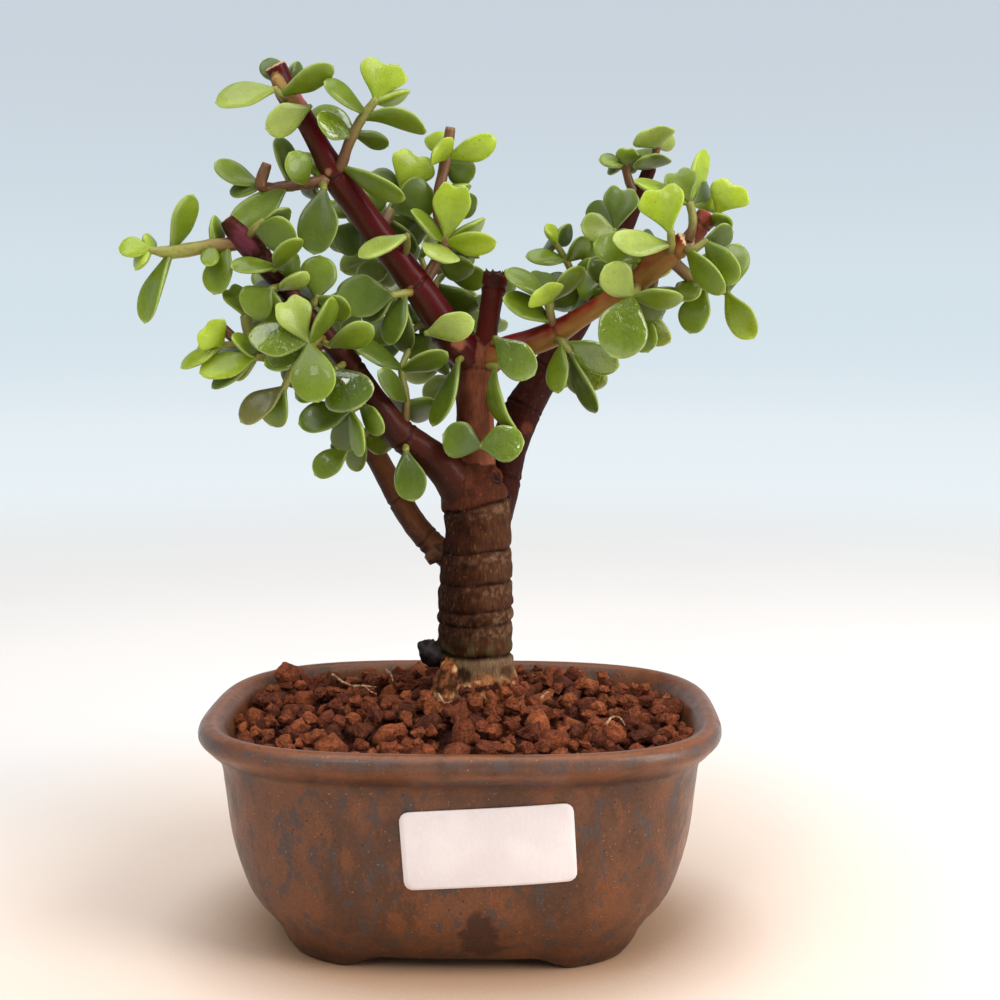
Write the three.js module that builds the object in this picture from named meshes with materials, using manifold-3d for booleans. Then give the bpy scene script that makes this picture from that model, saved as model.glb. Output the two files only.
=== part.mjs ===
// Dwarf jade bonsai in its pot. Millimetres, +Z up, the pot's front towards -Y.
// The source sets the pot's middle at x = y = 0 on the table; the last lines move the whole group so
// that its origin is under the middle of its box.
import * as THREE from 'three';
import { mergeVertices } from 'three/addons/utils/BufferGeometryUtils.js';
import Module from 'manifold-3d';

const wasm = await Module();
wasm.setup();

// ---------------------------------------------------------------- driving dimensions
const GAP = 0.3;                  // clearance between neighbouring pieces
const POT_HEIGHT = 64;
const POT_SQUARENESS = 3.1;       // exponent of the pot's rounded rectangle
const POT_SIDES = 32;
// Outside of the pot from the table up: height, half width, half depth.
const POT_OUTSIDE = [
  [0, 49, 35], [3, 50, 36], [8, 51.5, 37.5], [12, 56, 41], [20, 60, 43.8], [32, 63.3, 46],
  [46, 65, 46.8], [54, 66.3, 47.4], [57, 69.6, 50.8], [60, 71.5, 53.2], [62.6, 71, 53],
  [POT_HEIGHT, 69, 51.2],
];
// Inside of the pot from the rim down to its floor.
const POT_INSIDE = [
  [63.2, 66.6, 48.6], [59, 63.4, 45.6], [46, 61, 43], [28, 58, 40.5], [14, 51, 35], [9, 45, 30],
];
const FLOOR_TOP = 9;
const FOOT_HEIGHT = 3.4;
const FOOT_ARCH_WIDTH = 43;       // the gap between the feet, front and back
const FOOT_ARCH_DEPTH = 28;       // the gap between the feet at the sides
const CUT_LENGTH = 160;           // of the cuts under the pot, longer than the pot
const DRAIN_RADIUS = 5.5;
const DRAIN_SIDES = 16;
const DRAIN_X = 23;
const MESH_SIZE = 19;             // drain mesh: side of the square
const MESH_THICKNESS = 1.2;
const MESH_OPENINGS = 3;          // along each side
const MESH_BORDER = 0.2;          // as a share of the openings' pitch
const MESH_OPENING = 0.64;        // as a share of the openings' pitch
const SOIL_RIM_HEIGHT = 60.5;     // top of the soil against the pot's wall
const SOIL_HEAP = 5;              // how much higher it lies at the trunk
const SOIL_HEAP_POWER = 0.8;
const SOIL_TOP = 75;              // above every granule
const GRANULE_PITCH = 7;
const GRANULE_RELIEF = 1.9;
const GRANULE_JITTER = 2.2;       // how far a granule's place is drawn off its grid
const SOIL_SEED = 7;
const WALL_LEAN = 1.3;            // the pot's wall leans, so the bed is drawn in by more than the gap
const LABEL_WIDTH = 44;
const LABEL_HEIGHT = 21;
const LABEL_THICKNESS = 0.6;
const LABEL_MIDDLE = [8.9, 38.7]; // x and z of the label's middle
const LABEL_TILT = 0.06;          // how much it rises towards the right, per unit of its width
const LEAF_THICKNESS = 2;
const LEAF_CLEARANCE = 0.7;       // wanted between the blades of two shoots
const LEAF_FOLD = 0.07;           // how far a blade's sides are lifted, per unit of its width
const LEAF_ROOT = 0.8;            // how far a blade's foot is sunk past its twig's middle
const TWIG_END = 1;               // how far a twig runs past its last pair

// ---------------------------------------------------------------- front view
// Boughs and shoots are set out on a front view, drawn on a board of 1000 x 1000 squares with u to
// the right and v down, as seen from EYE. A place on it is [u, v, y]: the square, and the depth
// behind the pot's middle in millimetres.
const EYE = new THREE.Vector3(21, -396.6, 169.5);
const BOARD_MIDDLE = 500;
const BOARD_FOCUS = 1440;         // squares from the eye to the board
const BOARD_YAW = 1.5 * Math.PI / 180;
const BOARD_PITCH = 6.9 * Math.PI / 180;

const boardRight = new THREE.Vector3(Math.cos(BOARD_YAW), Math.sin(BOARD_YAW), 0);
const boardForward = new THREE.Vector3(
  -Math.sin(BOARD_YAW) * Math.cos(BOARD_PITCH),
  Math.cos(BOARD_YAW) * Math.cos(BOARD_PITCH),
  -Math.sin(BOARD_PITCH));
const boardUp = new THREE.Vector3().crossVectors(boardRight, boardForward);

// The point at depth y on the sight line through square (u, v).
function onView([u, v, y]) {
  const sight = boardForward.clone()
    .addScaledVector(boardRight, (u - BOARD_MIDDLE) / BOARD_FOCUS)
    .addScaledVector(boardUp, (BOARD_MIDDLE - v) / BOARD_FOCUS);
  return EYE.clone().addScaledVector(sight, (y - EYE.y) / sight.y);
}

// ---------------------------------------------------------------- trunk and boughs
// The trunk's sections from its buried foot up: height, middle x, radius. Its rings are the leaf
// scars of old growth.
const TRUNK_Y = 12;
const TRUNK_SIDES = 12;
const TRUNK_SECTIONS = [
  [36, 3.6, 8.5], [54, 3.6, 10], [62, 3.5, 11.8], [66.5, 3.4, 11.4], [71, 3.2, 10.4], [76.2, 3.1, 9.8],
  [80.5, 3.2, 10.7], [85.2, 3.4, 9.8], [91, 3.5, 10.8], [97.2, 3.6, 9.6], [101.5, 3.9, 10],
  [106.8, 4, 9], [112, 3.9, 9.6], [117.2, 3.5, 8.9], [120, 3, 10.3], [124, 2.8, 8.8], [127, 2.8, 5.2],
];
const ROOTS = [                   // direction in degrees, reach, radius at the trunk
  [205, 17, 3.4], [155, 15, 3], [262, 16, 3.6], [318, 16, 3], [12, 16, 3.2], [80, 14, 2.8],
];
const ROOT_PROFILE = [            // share of the reach, height, share of the radius
  [0.3, 68, 1], [0.7, 63.5, 0.85], [1.05, 54, 0.4],
];
const ROOT_SIDES = 5;

// Boughs: points on the front view, each with its radius. Their cut ends are blunt.
const BOUGHS = {
  upright: [[476, 500, 12, 6], [476, 470, 12, 5.6], [475, 430, 12, 5.4], [476, 390, 12, 5.4],
    [478, 358, 12, 5.4]],
  main_left: [[478, 366, 12, 5], [452, 338, 10, 5], [434, 310, 9, 4.7], [417, 286, 8, 4.4],
    [375, 230, 6, 4.1], [355, 203, 5, 4], [338, 179, 3, 4.1], [322, 151, 1, 3.1],
    [307, 123, 0, 2.9], [291, 97, -1, 2.8], [275, 66, -2, 3.1]],
  cut_middle: [[482, 366, 12, 4.4], [486, 338, 12, 3.2], [491, 305, 12, 3.1], [494, 288, 12, 3.4],
    [496, 274, 12, 3.3]],
  low_left: [[462, 492, 9, 6], [440, 464, 7, 5], [400, 434, 4, 4.4], [380, 410, 2, 4.1],
    [362, 385, 0, 3.8], [345, 358, -2, 3.4], [325, 335, -4, 2.9], [292, 297, -6, 2.6],
    [270, 270, -8, 3], [252, 248, -9, 3.5], [238, 234, -10, 3], [226, 219, -11, 2]],
  lowest_left: [[462, 562, 14, 5], [440, 550, 16, 3.8], [422, 533, 18, 3.7], [404, 507, 21, 3.6],
    [371, 446, 27, 3.3]],
  back_right: [[490, 512, 16, 7], [503, 484, 21, 5], [508, 450, 24, 5.4], [521, 414, 27, 5.6],
    [538, 384, 31, 5], [560, 348, 36, 4.4], [583, 312, 41, 3.8], [606, 268, 45, 3.3],
    [624, 228, 47, 2.9], [651, 166, 48, 2]],
  front_right: [[484, 362, 12, 4.6], [506, 350, 10, 3.9], [530, 343, 9, 3.8], [555, 333, 8, 3.6],
    [580, 318, 6, 2.8], [606, 302, 4, 2.7], [634, 284, 2, 3.1], [655, 266, 0, 3.5],
    [686, 241, -3, 3]],
  back: [[478, 430, 15, 5], [470, 402, 30, 4.2], [462, 366, 42, 3.7], [448, 326, 52, 3.2],
    [432, 286, 60, 2.6]],
};
const BOUGH_SIDES = 7;
const THICK_BOUGH = 4;            // radius at its root above which a bough has one side more
const STUBS = {                   // short cut ends and the dark lump at the foot
  right_stub: [[676, 250, -2, 2.8], [692, 238, 1, 2.6], [707, 213, 2, 2.7]],
  lowest_stub: [[440, 552, 12, 2.4], [427, 561, 11, 1.7]],
  foot_lump: [[446, 662, 10, 4], [430, 656, 6, 3.4], [427, 644, 5, 2.4]],
  knot: [[484, 476, 12, 4.2], [496, 478, 8, 2.8]],
  top_peg: [[290, 103, -2, 2.6], [282, 92, -4, 2.1], [276, 78, -4, 1.6]],
};

// ---------------------------------------------------------------- drawn shoots
// A shoot has its twig's points on the front view, its radius at root and tip or at each point, and
// its leaves. A leaf is [place along the twig, u, v, depth, width, roll]: the place counts the twig's
// points from 0, u and v are the tip's square, depth is how far the tip lies behind the leaf's foot
// in millimetres, width is in millimetres and roll is in degrees, 0 with its face to the front. A
// leaf may end with NOTCHED, for a broad one with a notch at its tip. A shoot that grows on another
// one is one piece with it.
const NOTCHED = true;
const SHOOTS = {
  crown_left: {
    twig: [[286, 100, -4], [281, 95, -6], [276, 90, -7]], thick: [1.3, 1],
    leaves: [[2, 216, 103, -1, 8, 38], [1, 333, 66, -2, 8, 48]],
  },
  crown_back: {
    twig: [[288, 90, -1], [284, 82, 4]], thick: [1.2, 0.9],
    leaves: [[1, 263, 61, 1, 6.5, 10], [1, 302, 66, 5, 6.5, 20]],
  },
  crown_front: {
    twig: [[303, 112, 0], [309, 107, -5]], thick: [1.1, 0.9],
    leaves: [[1, 266, 129, -5, 8.8, -20]],
  },
  crown_right: {
    twig: [[333, 180, 3], [341, 166, 0], [349, 143, -2], [361, 120, -3], [375, 101, -4]],
    thick: [2, 1.3],
    leaves: [[3.3, 324, 82, -2, 8, 60], [3, 426, 131, -3, 8.4, 52], [2.4, 388, 146, 4, 6.5, 45],
      [2.3, 317, 117, -6, 8, 36], [4, 384, 65, 3, 13, 0, NOTCHED], [4, 409, 93, 6, 8, 68],
      [1, 405, 198, -5, 8.4, 48], [2.4, 313, 109, 2, 8, 36]],
  },
  left_node: {
    twig: [[335, 178, 3], [322, 181, 0], [306, 184, 0], [287, 186, 1], [270, 188, 0], [261, 184, -2],
      [266, 167, -2]],
    thick: [1.9, 1.9, 1.8, 1.7, 1.7, 1.9, 1.7],
    leaves: [[2, 289, 153, -3, 8.5, 25], [1.6, 312, 199, 6, 6, 30], [3, 231, 226, -7, 8.4, 18],
      [2.8, 280, 137, 3, 8, 48], [5, 215, 163, 1, 7, 42], [5, 230, 191, 3, 6, 48],
      [1, 297, 154, 5, 6, 30]],
  },
  hanging_leaf: {
    on: 'left_node', twig: [[322, 180, 1], [324, 189, -3]], thick: [1.4, 1.1],
    leaves: [[1, 314, 254, -3, 10.8, 8]],
  },
  behind_main: {
    twig: [[372, 228, 6], [362, 222, 13], [356, 215, 18]], thick: [1.3, 1],
    leaves: [[1, 339, 251, 3, 10, 10], [1.5, 379, 186, 2, 9, 15], [2, 335, 200, 3, 8, 20],
      [2, 366, 190, 10, 8, 30]],
  },
  main_left_back: {
    twig: [[378, 235, 6], [387, 219, 10], [393, 206, 13], [402, 196, 16]], thick: [2.2, 1],
    leaves: [[3, 416, 157, 2, 12.8, 0, NOTCHED], [1.5, 432, 190, 2, 12, 15], [1.3, 424, 238, 4, 10, 5],
      [3, 372, 172, 5, 8, 30], [3, 384, 182, 12, 8, 20], [1, 409, 256, 6, 9, 30]],
  },
  tall_back: {
    twig: [[424, 284, 9], [436, 262, 11], [445, 243, 9], [438, 212, 12], [440, 188, 13],
      [446, 158, 14], [450, 131, 14]],
    thick: [2, 1.8],
    leaves: [[2, 455, 188, -4, 10.6, 0, NOTCHED], [2, 411, 211, -3, 8.4, 58], [2, 496, 242, -3, 8, 32],
      [2.1, 485, 220, 5, 8.6, 56], [5, 496, 139, -1, 7.6, 25], [5, 437, 146, -6, 9.5, 0, NOTCHED],
      [5.2, 430, 135, 4, 7, 10], [4.9, 473, 178, 5, 8, 15], [3.9, 471, 187, 3, 7, 68],
      [3.2, 477, 203, 6, 8, 20], [2, 477, 258, 3, 7, 60],
      [1.2, 472, 273, 6, 8.6, 25], [1.8, 437, 260, -6, 11.5, 0, NOTCHED]],
  },
  front_leaf: {
    twig: [[402, 262, 7], [407, 247, 3], [407, 236, -1]], thick: [1.2, 1],
    leaves: [[2, 359, 257, -4, 8, 56]],
  },
  between_upper: {
    twig: [[436, 300, 11], [436, 284, 15], [446, 272, 20]], thick: [1.4, 1],
    leaves: [[1, 478, 309, 1, 8.6, 36], [2, 486, 280, 2, 8, 30], [2, 470, 248, 3, 8, 20],
      [1.5, 442, 242, 6, 7, 30]],
  },
  between_lower: {
    twig: [[448, 326, 10], [454, 319, 19], [462, 308, 26]], thick: [1.4, 1],
    leaves: [[1, 481, 322, 3, 8, 20], [2, 488, 306, 6, 8, 20], [1.2, 470, 345, 6, 8, 25]],
  },
  fork_front: {
    twig: [[443, 322, 9], [432, 331, 4], [427, 333, 1]], thick: [1.1, 0.9],
    leaves: [[2, 474, 321, -2, 8.6, 25]],
  },
  main_left_low: {
    twig: [[418, 292, 8], [406, 293, 3], [393, 295, 0]], thick: [1.4, 1.1],
    leaves: [[2, 336, 296, -3, 12, 8], [1, 389, 345, -3, 8.2, 34], [1.3, 404, 352, 6, 8, 35],
      [2, 362, 318, 6, 8, 30]],
  },
  under_main: {
    twig: [[436, 318, 9], [420, 325, 13], [408, 334, 17]], thick: [1.3, 1],
    leaves: [[2, 366, 330, 2, 9, 20], [2, 424, 356, 0, 9, 20], [1, 404, 308, 6, 8.6, 20],
      [2, 390, 302, 9, 8.6, 20], [1, 446, 352, 5, 8.6, 35], [2, 376, 352, 8, 9, 30]],
  },
  fork_left_leaf: {
    twig: [[468, 352, 12], [458, 361, 4]], thick: [1.2, 1],
    leaves: [[1, 433, 426, -3, 7.6, 50]],
  },
  middle_low: {
    twig: [[404, 437, 4], [406, 402, 3], [402, 370, 1], [408, 352, 3]], thick: [1.5, 1],
    leaves: [[2, 353, 344, -5, 8.6, 48], [2, 447, 352, -4, 9, 52], [1, 378, 371, -3, 7, 45],
      [1, 434, 414, 4, 9, 20], [1.4, 395, 425, 7, 9, 20]],
  },
  rosette: {
    twig: [[326, 337, -4], [317, 341, -10], [309, 343, -17]], thick: [1.5, 1.2],
    leaves: [[2, 286, 303, -1, 10.5, 10, NOTCHED], [2, 332, 297, -2, 8.4, 58], [2, 249, 337, -4, 9.8, 12],
      [2, 318, 402, -5, 12, 4], [1.5, 265, 365, 0, 9, 32]],
  },
  round_front: {
    twig: [[347, 360, -2], [341, 366, -6], [336, 369, -9]], thick: [1.3, 1],
    leaves: [[2, 360, 407, -3, 14, 0], [2, 296, 398, 3, 8, 30]],
  },
  low_left_upper: {
    on: 'rosette', twig: [[320, 340, -8], [329, 345, -11]], thick: [1.1, 1],
    leaves: [[1, 373, 326, -2, 9.2, 44]],
  },
  low_left_stub: {
    twig: [[322, 342, -4], [290, 354, -7], [258, 352, -9], [240, 343, -10], [220, 326, -11]],
    thick: [2.2, 2.2, 2, 1.7, 1.6],
    leaves: [[2, 232, 339, -5, 7, 45], [1.2, 300, 388, 4, 8, 30], [1.6, 262, 322, 4, 8, 30]],
  },
  stub_leaf: {
    on: 'low_left_stub', twig: [[252, 350, -9], [249, 334, -8], [246, 317, -8]], thick: [1.9, 1.9],
    leaves: [[2, 229, 290, -1, 7.6, 40, NOTCHED]],
  },
  far_low_left: {
    on: 'low_left_stub', twig: [[242, 344, -10], [222, 345, -12]], thick: [1.2, 1],
    leaves: [[1, 181, 368, -2, 7, 60], [1, 205, 328, -1, 10, 12, NOTCHED], [1, 196, 352, 6, 6, 35]],
  },
  low_outer: {
    on: 'low_left_stub', twig: [[276, 352, -8], [268, 358, -10], [257, 357, -12]], thick: [1.4, 1.1],
    leaves: [[2, 200, 373, -3, 7.8, 25], [2, 234, 377, 1, 6.6, 35], [2, 212, 388, 6, 5, 40],
      [2, 220, 352, 5, 5, 30]],
  },
  low_hanging: {
    on: 'low_left_stub', twig: [[300, 351, -6], [292, 370, -8], [284, 388, -9]], thick: [1.5, 1.1],
    leaves: [[2, 241, 422, -3, 8.6, 35], [2, 270, 425, 3, 8.6, 35]],
  },
  low_middle: {
    twig: [[374, 402, 2], [361, 405, -3], [351, 411, -5]], thick: [1.3, 1],
    leaves: [[2, 299, 424, -3, 9, 20], [2, 362, 456, -4, 8, 60], [1, 384, 432, -4, 7, 35],
      [2, 338, 449, 4, 7.5, 20], [1, 330, 388, 6, 8, 30]],
  },
  low_drop: {
    twig: [[382, 414, 2], [364, 434, 5], [350, 449, 6]], thick: [1.4, 1],
    leaves: [[2, 315, 475, -2, 8, 30], [2, 338, 436, 5, 8, 20], [1, 352, 470, 3, 7, 30],
      [1, 390, 450, -3, 7, 30]],
  },
  under_bough: {
    twig: [[406, 440, 4], [406, 450, -1]], thick: [1.2, 1],
    leaves: [[1, 413, 501, -3, 9, 5]],
  },
  outer_curl: {
    twig: [[247, 243, -9], [254, 229, -13], [262, 222, -13]], thick: [1.4, 1],
    leaves: [[1, 297, 240, -3, 9.6, 14], [2, 291, 212, 4, 7, 45]],
  },
  low_left_mid: {
    twig: [[272, 272, -8], [276, 267, -13]], thick: [1.2, 1],
    leaves: [[1, 231, 267, -2, 7.5, 60], [1, 298, 238, -2, 7.4, 52], [1, 300, 262, 4, 7, 20]],
  },
  low_left_under: {
    twig: [[286, 290, -7], [278, 287, -11], [271, 289, -13]], thick: [1.2, 1],
    leaves: [[2, 245, 312, -2, 10, 15], [2, 274, 322, -4, 8.6, 28], [1, 307, 272, -3, 7.4, 55],
      [1, 250, 300, 5, 8, 20]],
  },
  low_left_over: {
    twig: [[305, 312, -5], [314, 303, -7], [317, 298, -7]], thick: [1.2, 1],
    leaves: [[2, 320, 256, 2, 10, 10], [2, 350, 316, 3, 8, 30], [1, 292, 278, 5, 7, 40],
      [1, 352, 300, 7, 8, 20]],
  },
  long_left: {
    twig: [[247, 243, -9], [212, 246, -11], [172, 252, -13], [150, 250, -14]],
    thick: [2, 2.1, 2, 0.8],
    leaves: [[3, 119, 248, -1, 7, 36], [3, 135, 270, -4, 6.5, 56], [3, 150, 236, 2, 5, 48],
      [2, 193, 195, 2, 8.4, 52], [2, 145, 323, -3, 8.4, 60], [1, 217, 217, 2, 6.5, 50],
      [1, 207, 266, -3, 5, 20], [0.5, 214, 294, -3, 8.4, 40]],
  },
  trunk_pair: {
    twig: [[478, 446, 9], [480, 446, 4]], thick: [1.4, 1.2],
    leaves: [[1, 443, 435, -4, 10.5, 0], [1, 524, 442, -4, 10.5, 0]],
  },
  fork_long_leaf: {
    twig: [[484, 366, 10], [497, 366, 3]], thick: [1.2, 1],
    leaves: [[1, 518, 433, -3, 8, 50]],
  },
  fork_round_leaf: {
    twig: [[492, 345, 10], [496, 338, 3]], thick: [1.2, 0.9],
    leaves: [[1, 534, 375, -5, 10.4, 14]],
  },
  right_upright_twig: {
    twig: [[556, 333, 8], [551, 318, 5], [549, 301, 3]], thick: [1.5, 1.4],
    leaves: [[2, 541, 288, -6, 11, 0, NOTCHED], [2, 506, 270, 2, 8.6, 56], [2, 584, 268, 0, 8.6, 58],
      [1.6, 578, 289, 4, 8.6, 30], [0.7, 503, 298, -4, 9.4, 52], [2, 541, 272, 8, 8, 30]],
  },
  right_under: {
    twig: [[553, 336, 8], [562, 342, 3], [569, 350, 1]], thick: [1.5, 1.1],
    leaves: [[1, 619, 366, -5, 9, 20], [1.2, 558, 393, -3, 8, 40], [2, 602, 388, 3, 9, 20],
      [2, 595, 413, 5, 8, 60]],
  },
  right_big_leaf: {
    twig: [[637, 283, 1], [636, 292, -4], [633, 296, -6]], thick: [1.5, 1.2],
    leaves: [[2, 614, 358, -5, 13.6, 0], [2, 605, 266, -4, 9.4, 10], [2, 683, 297, -3, 8.6, 44],
      [1, 660, 318, 6, 9, 20]],
  },
  right_inner: {
    twig: [[612, 298, 4], [606, 290, 9], [600, 284, 13]], thick: [1.3, 1],
    leaves: [[2, 577, 286, 2, 8.6, 20], [2, 598, 256, 4, 8.6, 25], [1, 590, 312, 6, 8, 40],
      [2, 570, 308, 9, 8, 30]],
  },
  right_lower_twig: {
    twig: [[656, 265, 0], [652, 290, 6], [638, 314, 6]], thick: [1.5, 1.1],
    leaves: [[2, 670, 342, -4, 8.6, 25], [2, 648, 352, 0, 9, 20], [2, 665, 310, 4, 8.6, 25],
      [1, 684, 300, 5, 8, 40]],
  },
  right_node: {
    twig: [[638, 281, 2], [636, 268, 1], [637, 262, 0]], thick: [1.4, 1.1],
    leaves: [[2, 594, 243, -2, 9.4, 20], [2, 654, 236, 4, 9, 30]],
  },
  right_heart: {
    twig: [[669, 256, -2], [671, 244, -7], [671, 233, -9]], thick: [1.4, 1.2],
    leaves: [[2, 660, 191, 2, 12.5, 0, NOTCHED], [1, 613, 240, -4, 8.8, 40]],
  },
  right_tip: {
    twig: [[688, 242, -2], [693, 222, -2], [690, 204, -1]], thick: [1.5, 1.3],
    leaves: [[2, 676, 174, 2, 9.6, 15, NOTCHED], [2, 707, 151, 5, 7, 50], [2, 634, 180, 3, 8.6, 62],
      [2, 704, 181, 7, 6, 35]],
  },
  right_end: {
    twig: [[706, 228, 2], [714, 221, 3], [717, 213, 3]], thick: [1.4, 1],
    leaves: [[2, 733, 185, -2, 12, 8, NOTCHED], [1, 731, 219, -3, 6, 30], [2, 698, 196, 4, 7, 20]],
  },
  right_end_low: {
    twig: [[684, 246, -3], [692, 250, -6], [706, 241, -6]], thick: [1.5, 1.1],
    leaves: [[2, 736, 283, -3, 8.6, 20], [0.4, 725, 292, -7, 8, 40], [2, 733, 232, 4, 8, 40]],
  },
  right_drop: {
    twig: [[668, 257, -1], [690, 277, 6], [706, 288, 8], [727, 292, 8]], thick: [2.2, 1],
    leaves: [[3, 754, 338, -2, 8.6, 25], [3, 738, 244, 1, 8.6, 25], [2, 690, 333, -1, 9, 20],
      [1.4, 683, 301, -4, 8, 35], [1, 712, 262, 5, 8, 30]],
  },
  back_inner: {
    twig: [[588, 305, 41], [576, 282, 34], [566, 260, 30], [556, 244, 29]], thick: [1.5, 1],
    leaves: [[3, 547, 224, 1, 5.5, 45], [2, 526, 257, -3, 7, 48], [3, 545, 248, 5, 8, 50],
      [2, 586, 237, -2, 7.5, 50], [1, 547, 281, -2, 8, 50], [1, 602, 262, -6, 8, 20],
      [3, 572, 228, 5, 7, 40]],
  },
  back_heart: {
    twig: [[611, 258, 45], [606, 245, 34], [614, 231, 26]], thick: [1.6, 1.1],
    leaves: [[2, 622, 191, 3, 10.5, 0, NOTCHED], [2, 581, 225, -2, 8.6, 25], [1, 580, 258, -3, 8.6, 20],
      [2, 590, 204, 6, 9, 10], [1, 640, 240, -3, 8.6, 30]],
  },
  back_small_twig: {
    twig: [[638, 197, 48], [630, 184, 46], [625, 165, 45]], thick: [1.7, 1.5],
    leaves: [[2, 599, 160, -1, 7, 62], [2, 627, 149, -3, 7, 20, NOTCHED], [2, 640, 161, 4, 6.5, 30],
      [2, 610, 168, 7, 6, 30]],
  },
  back_crown: {
    twig: [[650, 169, 48], [653, 163, 47], [657, 147, 46]], thick: [1.7, 1.4],
    leaves: [[2, 651, 129, -6, 13, 0, NOTCHED], [0.6, 650, 155, -7, 11.5, 0, NOTCHED],
      [2, 672, 134, 5, 7, 30], [1, 640, 152, 6, 7, 30]],
  },
};

// ---------------------------------------------------------------- grown shoots
// At the back the leaves stand in crossed pairs along each twig: twig points on the front view,
// number of pairs, leaf length.
const GROWN_SHOOTS = {
  back_low: { twig: [[466, 386, 36], [452, 380, 52], [440, 366, 64]], pairs: 3, leaf: 13 },
  back_mid: { twig: [[456, 348, 47], [476, 330, 58], [486, 306, 66]], pairs: 3, leaf: 13 },
  back_tip: { twig: [[434, 292, 59], [424, 266, 62], [414, 240, 62]], pairs: 3, leaf: 13 },
  back_left: { on: 'back_tip', twig: [[427, 274, 61], [404, 284, 64], [382, 290, 66]], pairs: 3, leaf: 13 },
  main_back: { twig: [[400, 264, 8], [388, 262, 24], [376, 256, 38]], pairs: 3, leaf: 13 },
  main_top_back: { on: 'main_back', twig: [[388, 262, 24], [364, 236, 28], [346, 214, 30]], pairs: 3,
    leaf: 12 },
  low_back: { twig: [[348, 362, -2], [342, 352, 14], [330, 340, 28]], pairs: 3, leaf: 13 },
  outer_back: { twig: [[292, 297, -6], [284, 300, 8], [276, 302, 20]], pairs: 3, leaf: 12 },
  right_back: { twig: [[562, 346, 37], [566, 360, 50], [574, 366, 60]], pairs: 3, leaf: 12 },
  right_back_top: { twig: [[608, 264, 46], [622, 268, 58], [636, 274, 66]], pairs: 3, leaf: 12 },
};
const GROWN_TWIG_RADIUS = [1.4, 0.9];
const GROWN_LEAF_SEED = 11;
const LENGTH_SPREAD = 0.3;
const LEAF_LEAN = 58 * Math.PI / 180;   // between a grown leaf and its twig
const CROSSED = Math.PI / 2;            // turn from one pair to the next
const FIRST_PAIR = 0.5;                 // turn of the lowest pair, in radians
const GROWN_LEAF_WIDTH = 0.64;          // as a share of its length

// ---------------------------------------------------------------- solids
function solidOf(geometry) {
  const bare = geometry.clone();
  bare.deleteAttribute('normal');
  bare.deleteAttribute('uv');
  const merged = mergeVertices(bare, 1e-4);
  return new wasm.Manifold(new wasm.Mesh({
    numProp: 3,
    vertProperties: new Float32Array(merged.attributes.position.array),
    triVerts: new Uint32Array(merged.index.array),
  }));
}

function geometryOf(solid) {
  const { numProp, vertProperties, triVerts } = solid.getMesh();
  const geometry = new THREE.BufferGeometry();
  const places = new Float32Array(vertProperties.length / numProp * 3);
  for (let i = 0; i < places.length / 3; i += 1) {
    places.set(vertProperties.subarray(i * numProp, i * numProp + 3), i * 3);
  }
  geometry.setAttribute('position', new THREE.BufferAttribute(places, 3));
  geometry.setIndex(new THREE.BufferAttribute(new Uint32Array(triVerts), 1));
  return geometry;
}

// A closed mesh through rings of equal numbers of points, with a flat fan over each end ring.
function loft(rings) {
  const count = rings[0].length;
  const places = rings.flat();
  const triangles = [];
  for (let r = 0; r + 1 < rings.length; r += 1) {
    for (let i = 0; i < count; i += 1) {
      const a = r * count + i;
      const b = r * count + (i + 1) % count;
      triangles.push(a, b, b + count, a, b + count, a + count);
    }
  }
  const last = (rings.length - 1) * count;
  for (let i = 1; i + 1 < count; i += 1) {
    triangles.push(0, i + 1, i, last, last + i, last + i + 1);
  }
  const geometry = new THREE.BufferGeometry().setFromPoints(places);
  geometry.setIndex(triangles);
  return geometry;
}

// A tube of round sections through the points, its radius given at each, with flat ends.
function tube(points, radii, sides) {
  const rings = [];
  const start = new THREE.Vector3().subVectors(points[1], points[0]).normalize();
  const across = Math.abs(start.z) < 0.9 ? new THREE.Vector3(0, 0, 1) : new THREE.Vector3(1, 0, 0);
  points.forEach((point, i) => {
    const before = points[Math.max(i - 1, 0)];
    const after = points[Math.min(i + 1, points.length - 1)];
    const along = new THREE.Vector3().subVectors(after, before).normalize();
    const side = across.clone().addScaledVector(along, -across.dot(along)).normalize();
    const third = new THREE.Vector3().crossVectors(along, side);
    across.copy(side);
    rings.push(Array.from({ length: sides }, (_, k) => {
      const angle = 2 * Math.PI * k / sides;
      return point.clone()
        .addScaledVector(side, radii[i] * Math.cos(angle))
        .addScaledVector(third, radii[i] * Math.sin(angle));
    }));
  });
  return loft(rings);
}

const joined = (solids) => solids.reduce((sum, solid) => sum.add(solid));

// The largest body of a solid: cutting can leave scraps.
function largestOf(solid) {
  return solid.decompose().reduce((a, b) => (b.volume() > a.volume() ? b : a));
}

// ---------------------------------------------------------------- pot
function roundedRing(height, halfWidth, halfDepth) {
  const power = 2 / POT_SQUARENESS;
  return Array.from({ length: POT_SIDES }, (_, i) => {
    const angle = 2 * Math.PI * (i + 0.5) / POT_SIDES;
    const c = Math.cos(angle);
    const s = Math.sin(angle);
    return new THREE.Vector3(
      halfWidth * Math.sign(c) * Math.abs(c) ** power,
      halfDepth * Math.sign(s) * Math.abs(s) ** power,
      height);
  });
}

function box(width, depth, height, x, y, z) {
  return solidOf(new THREE.BoxGeometry(width, depth, height).translate(x, y, z));
}

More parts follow.
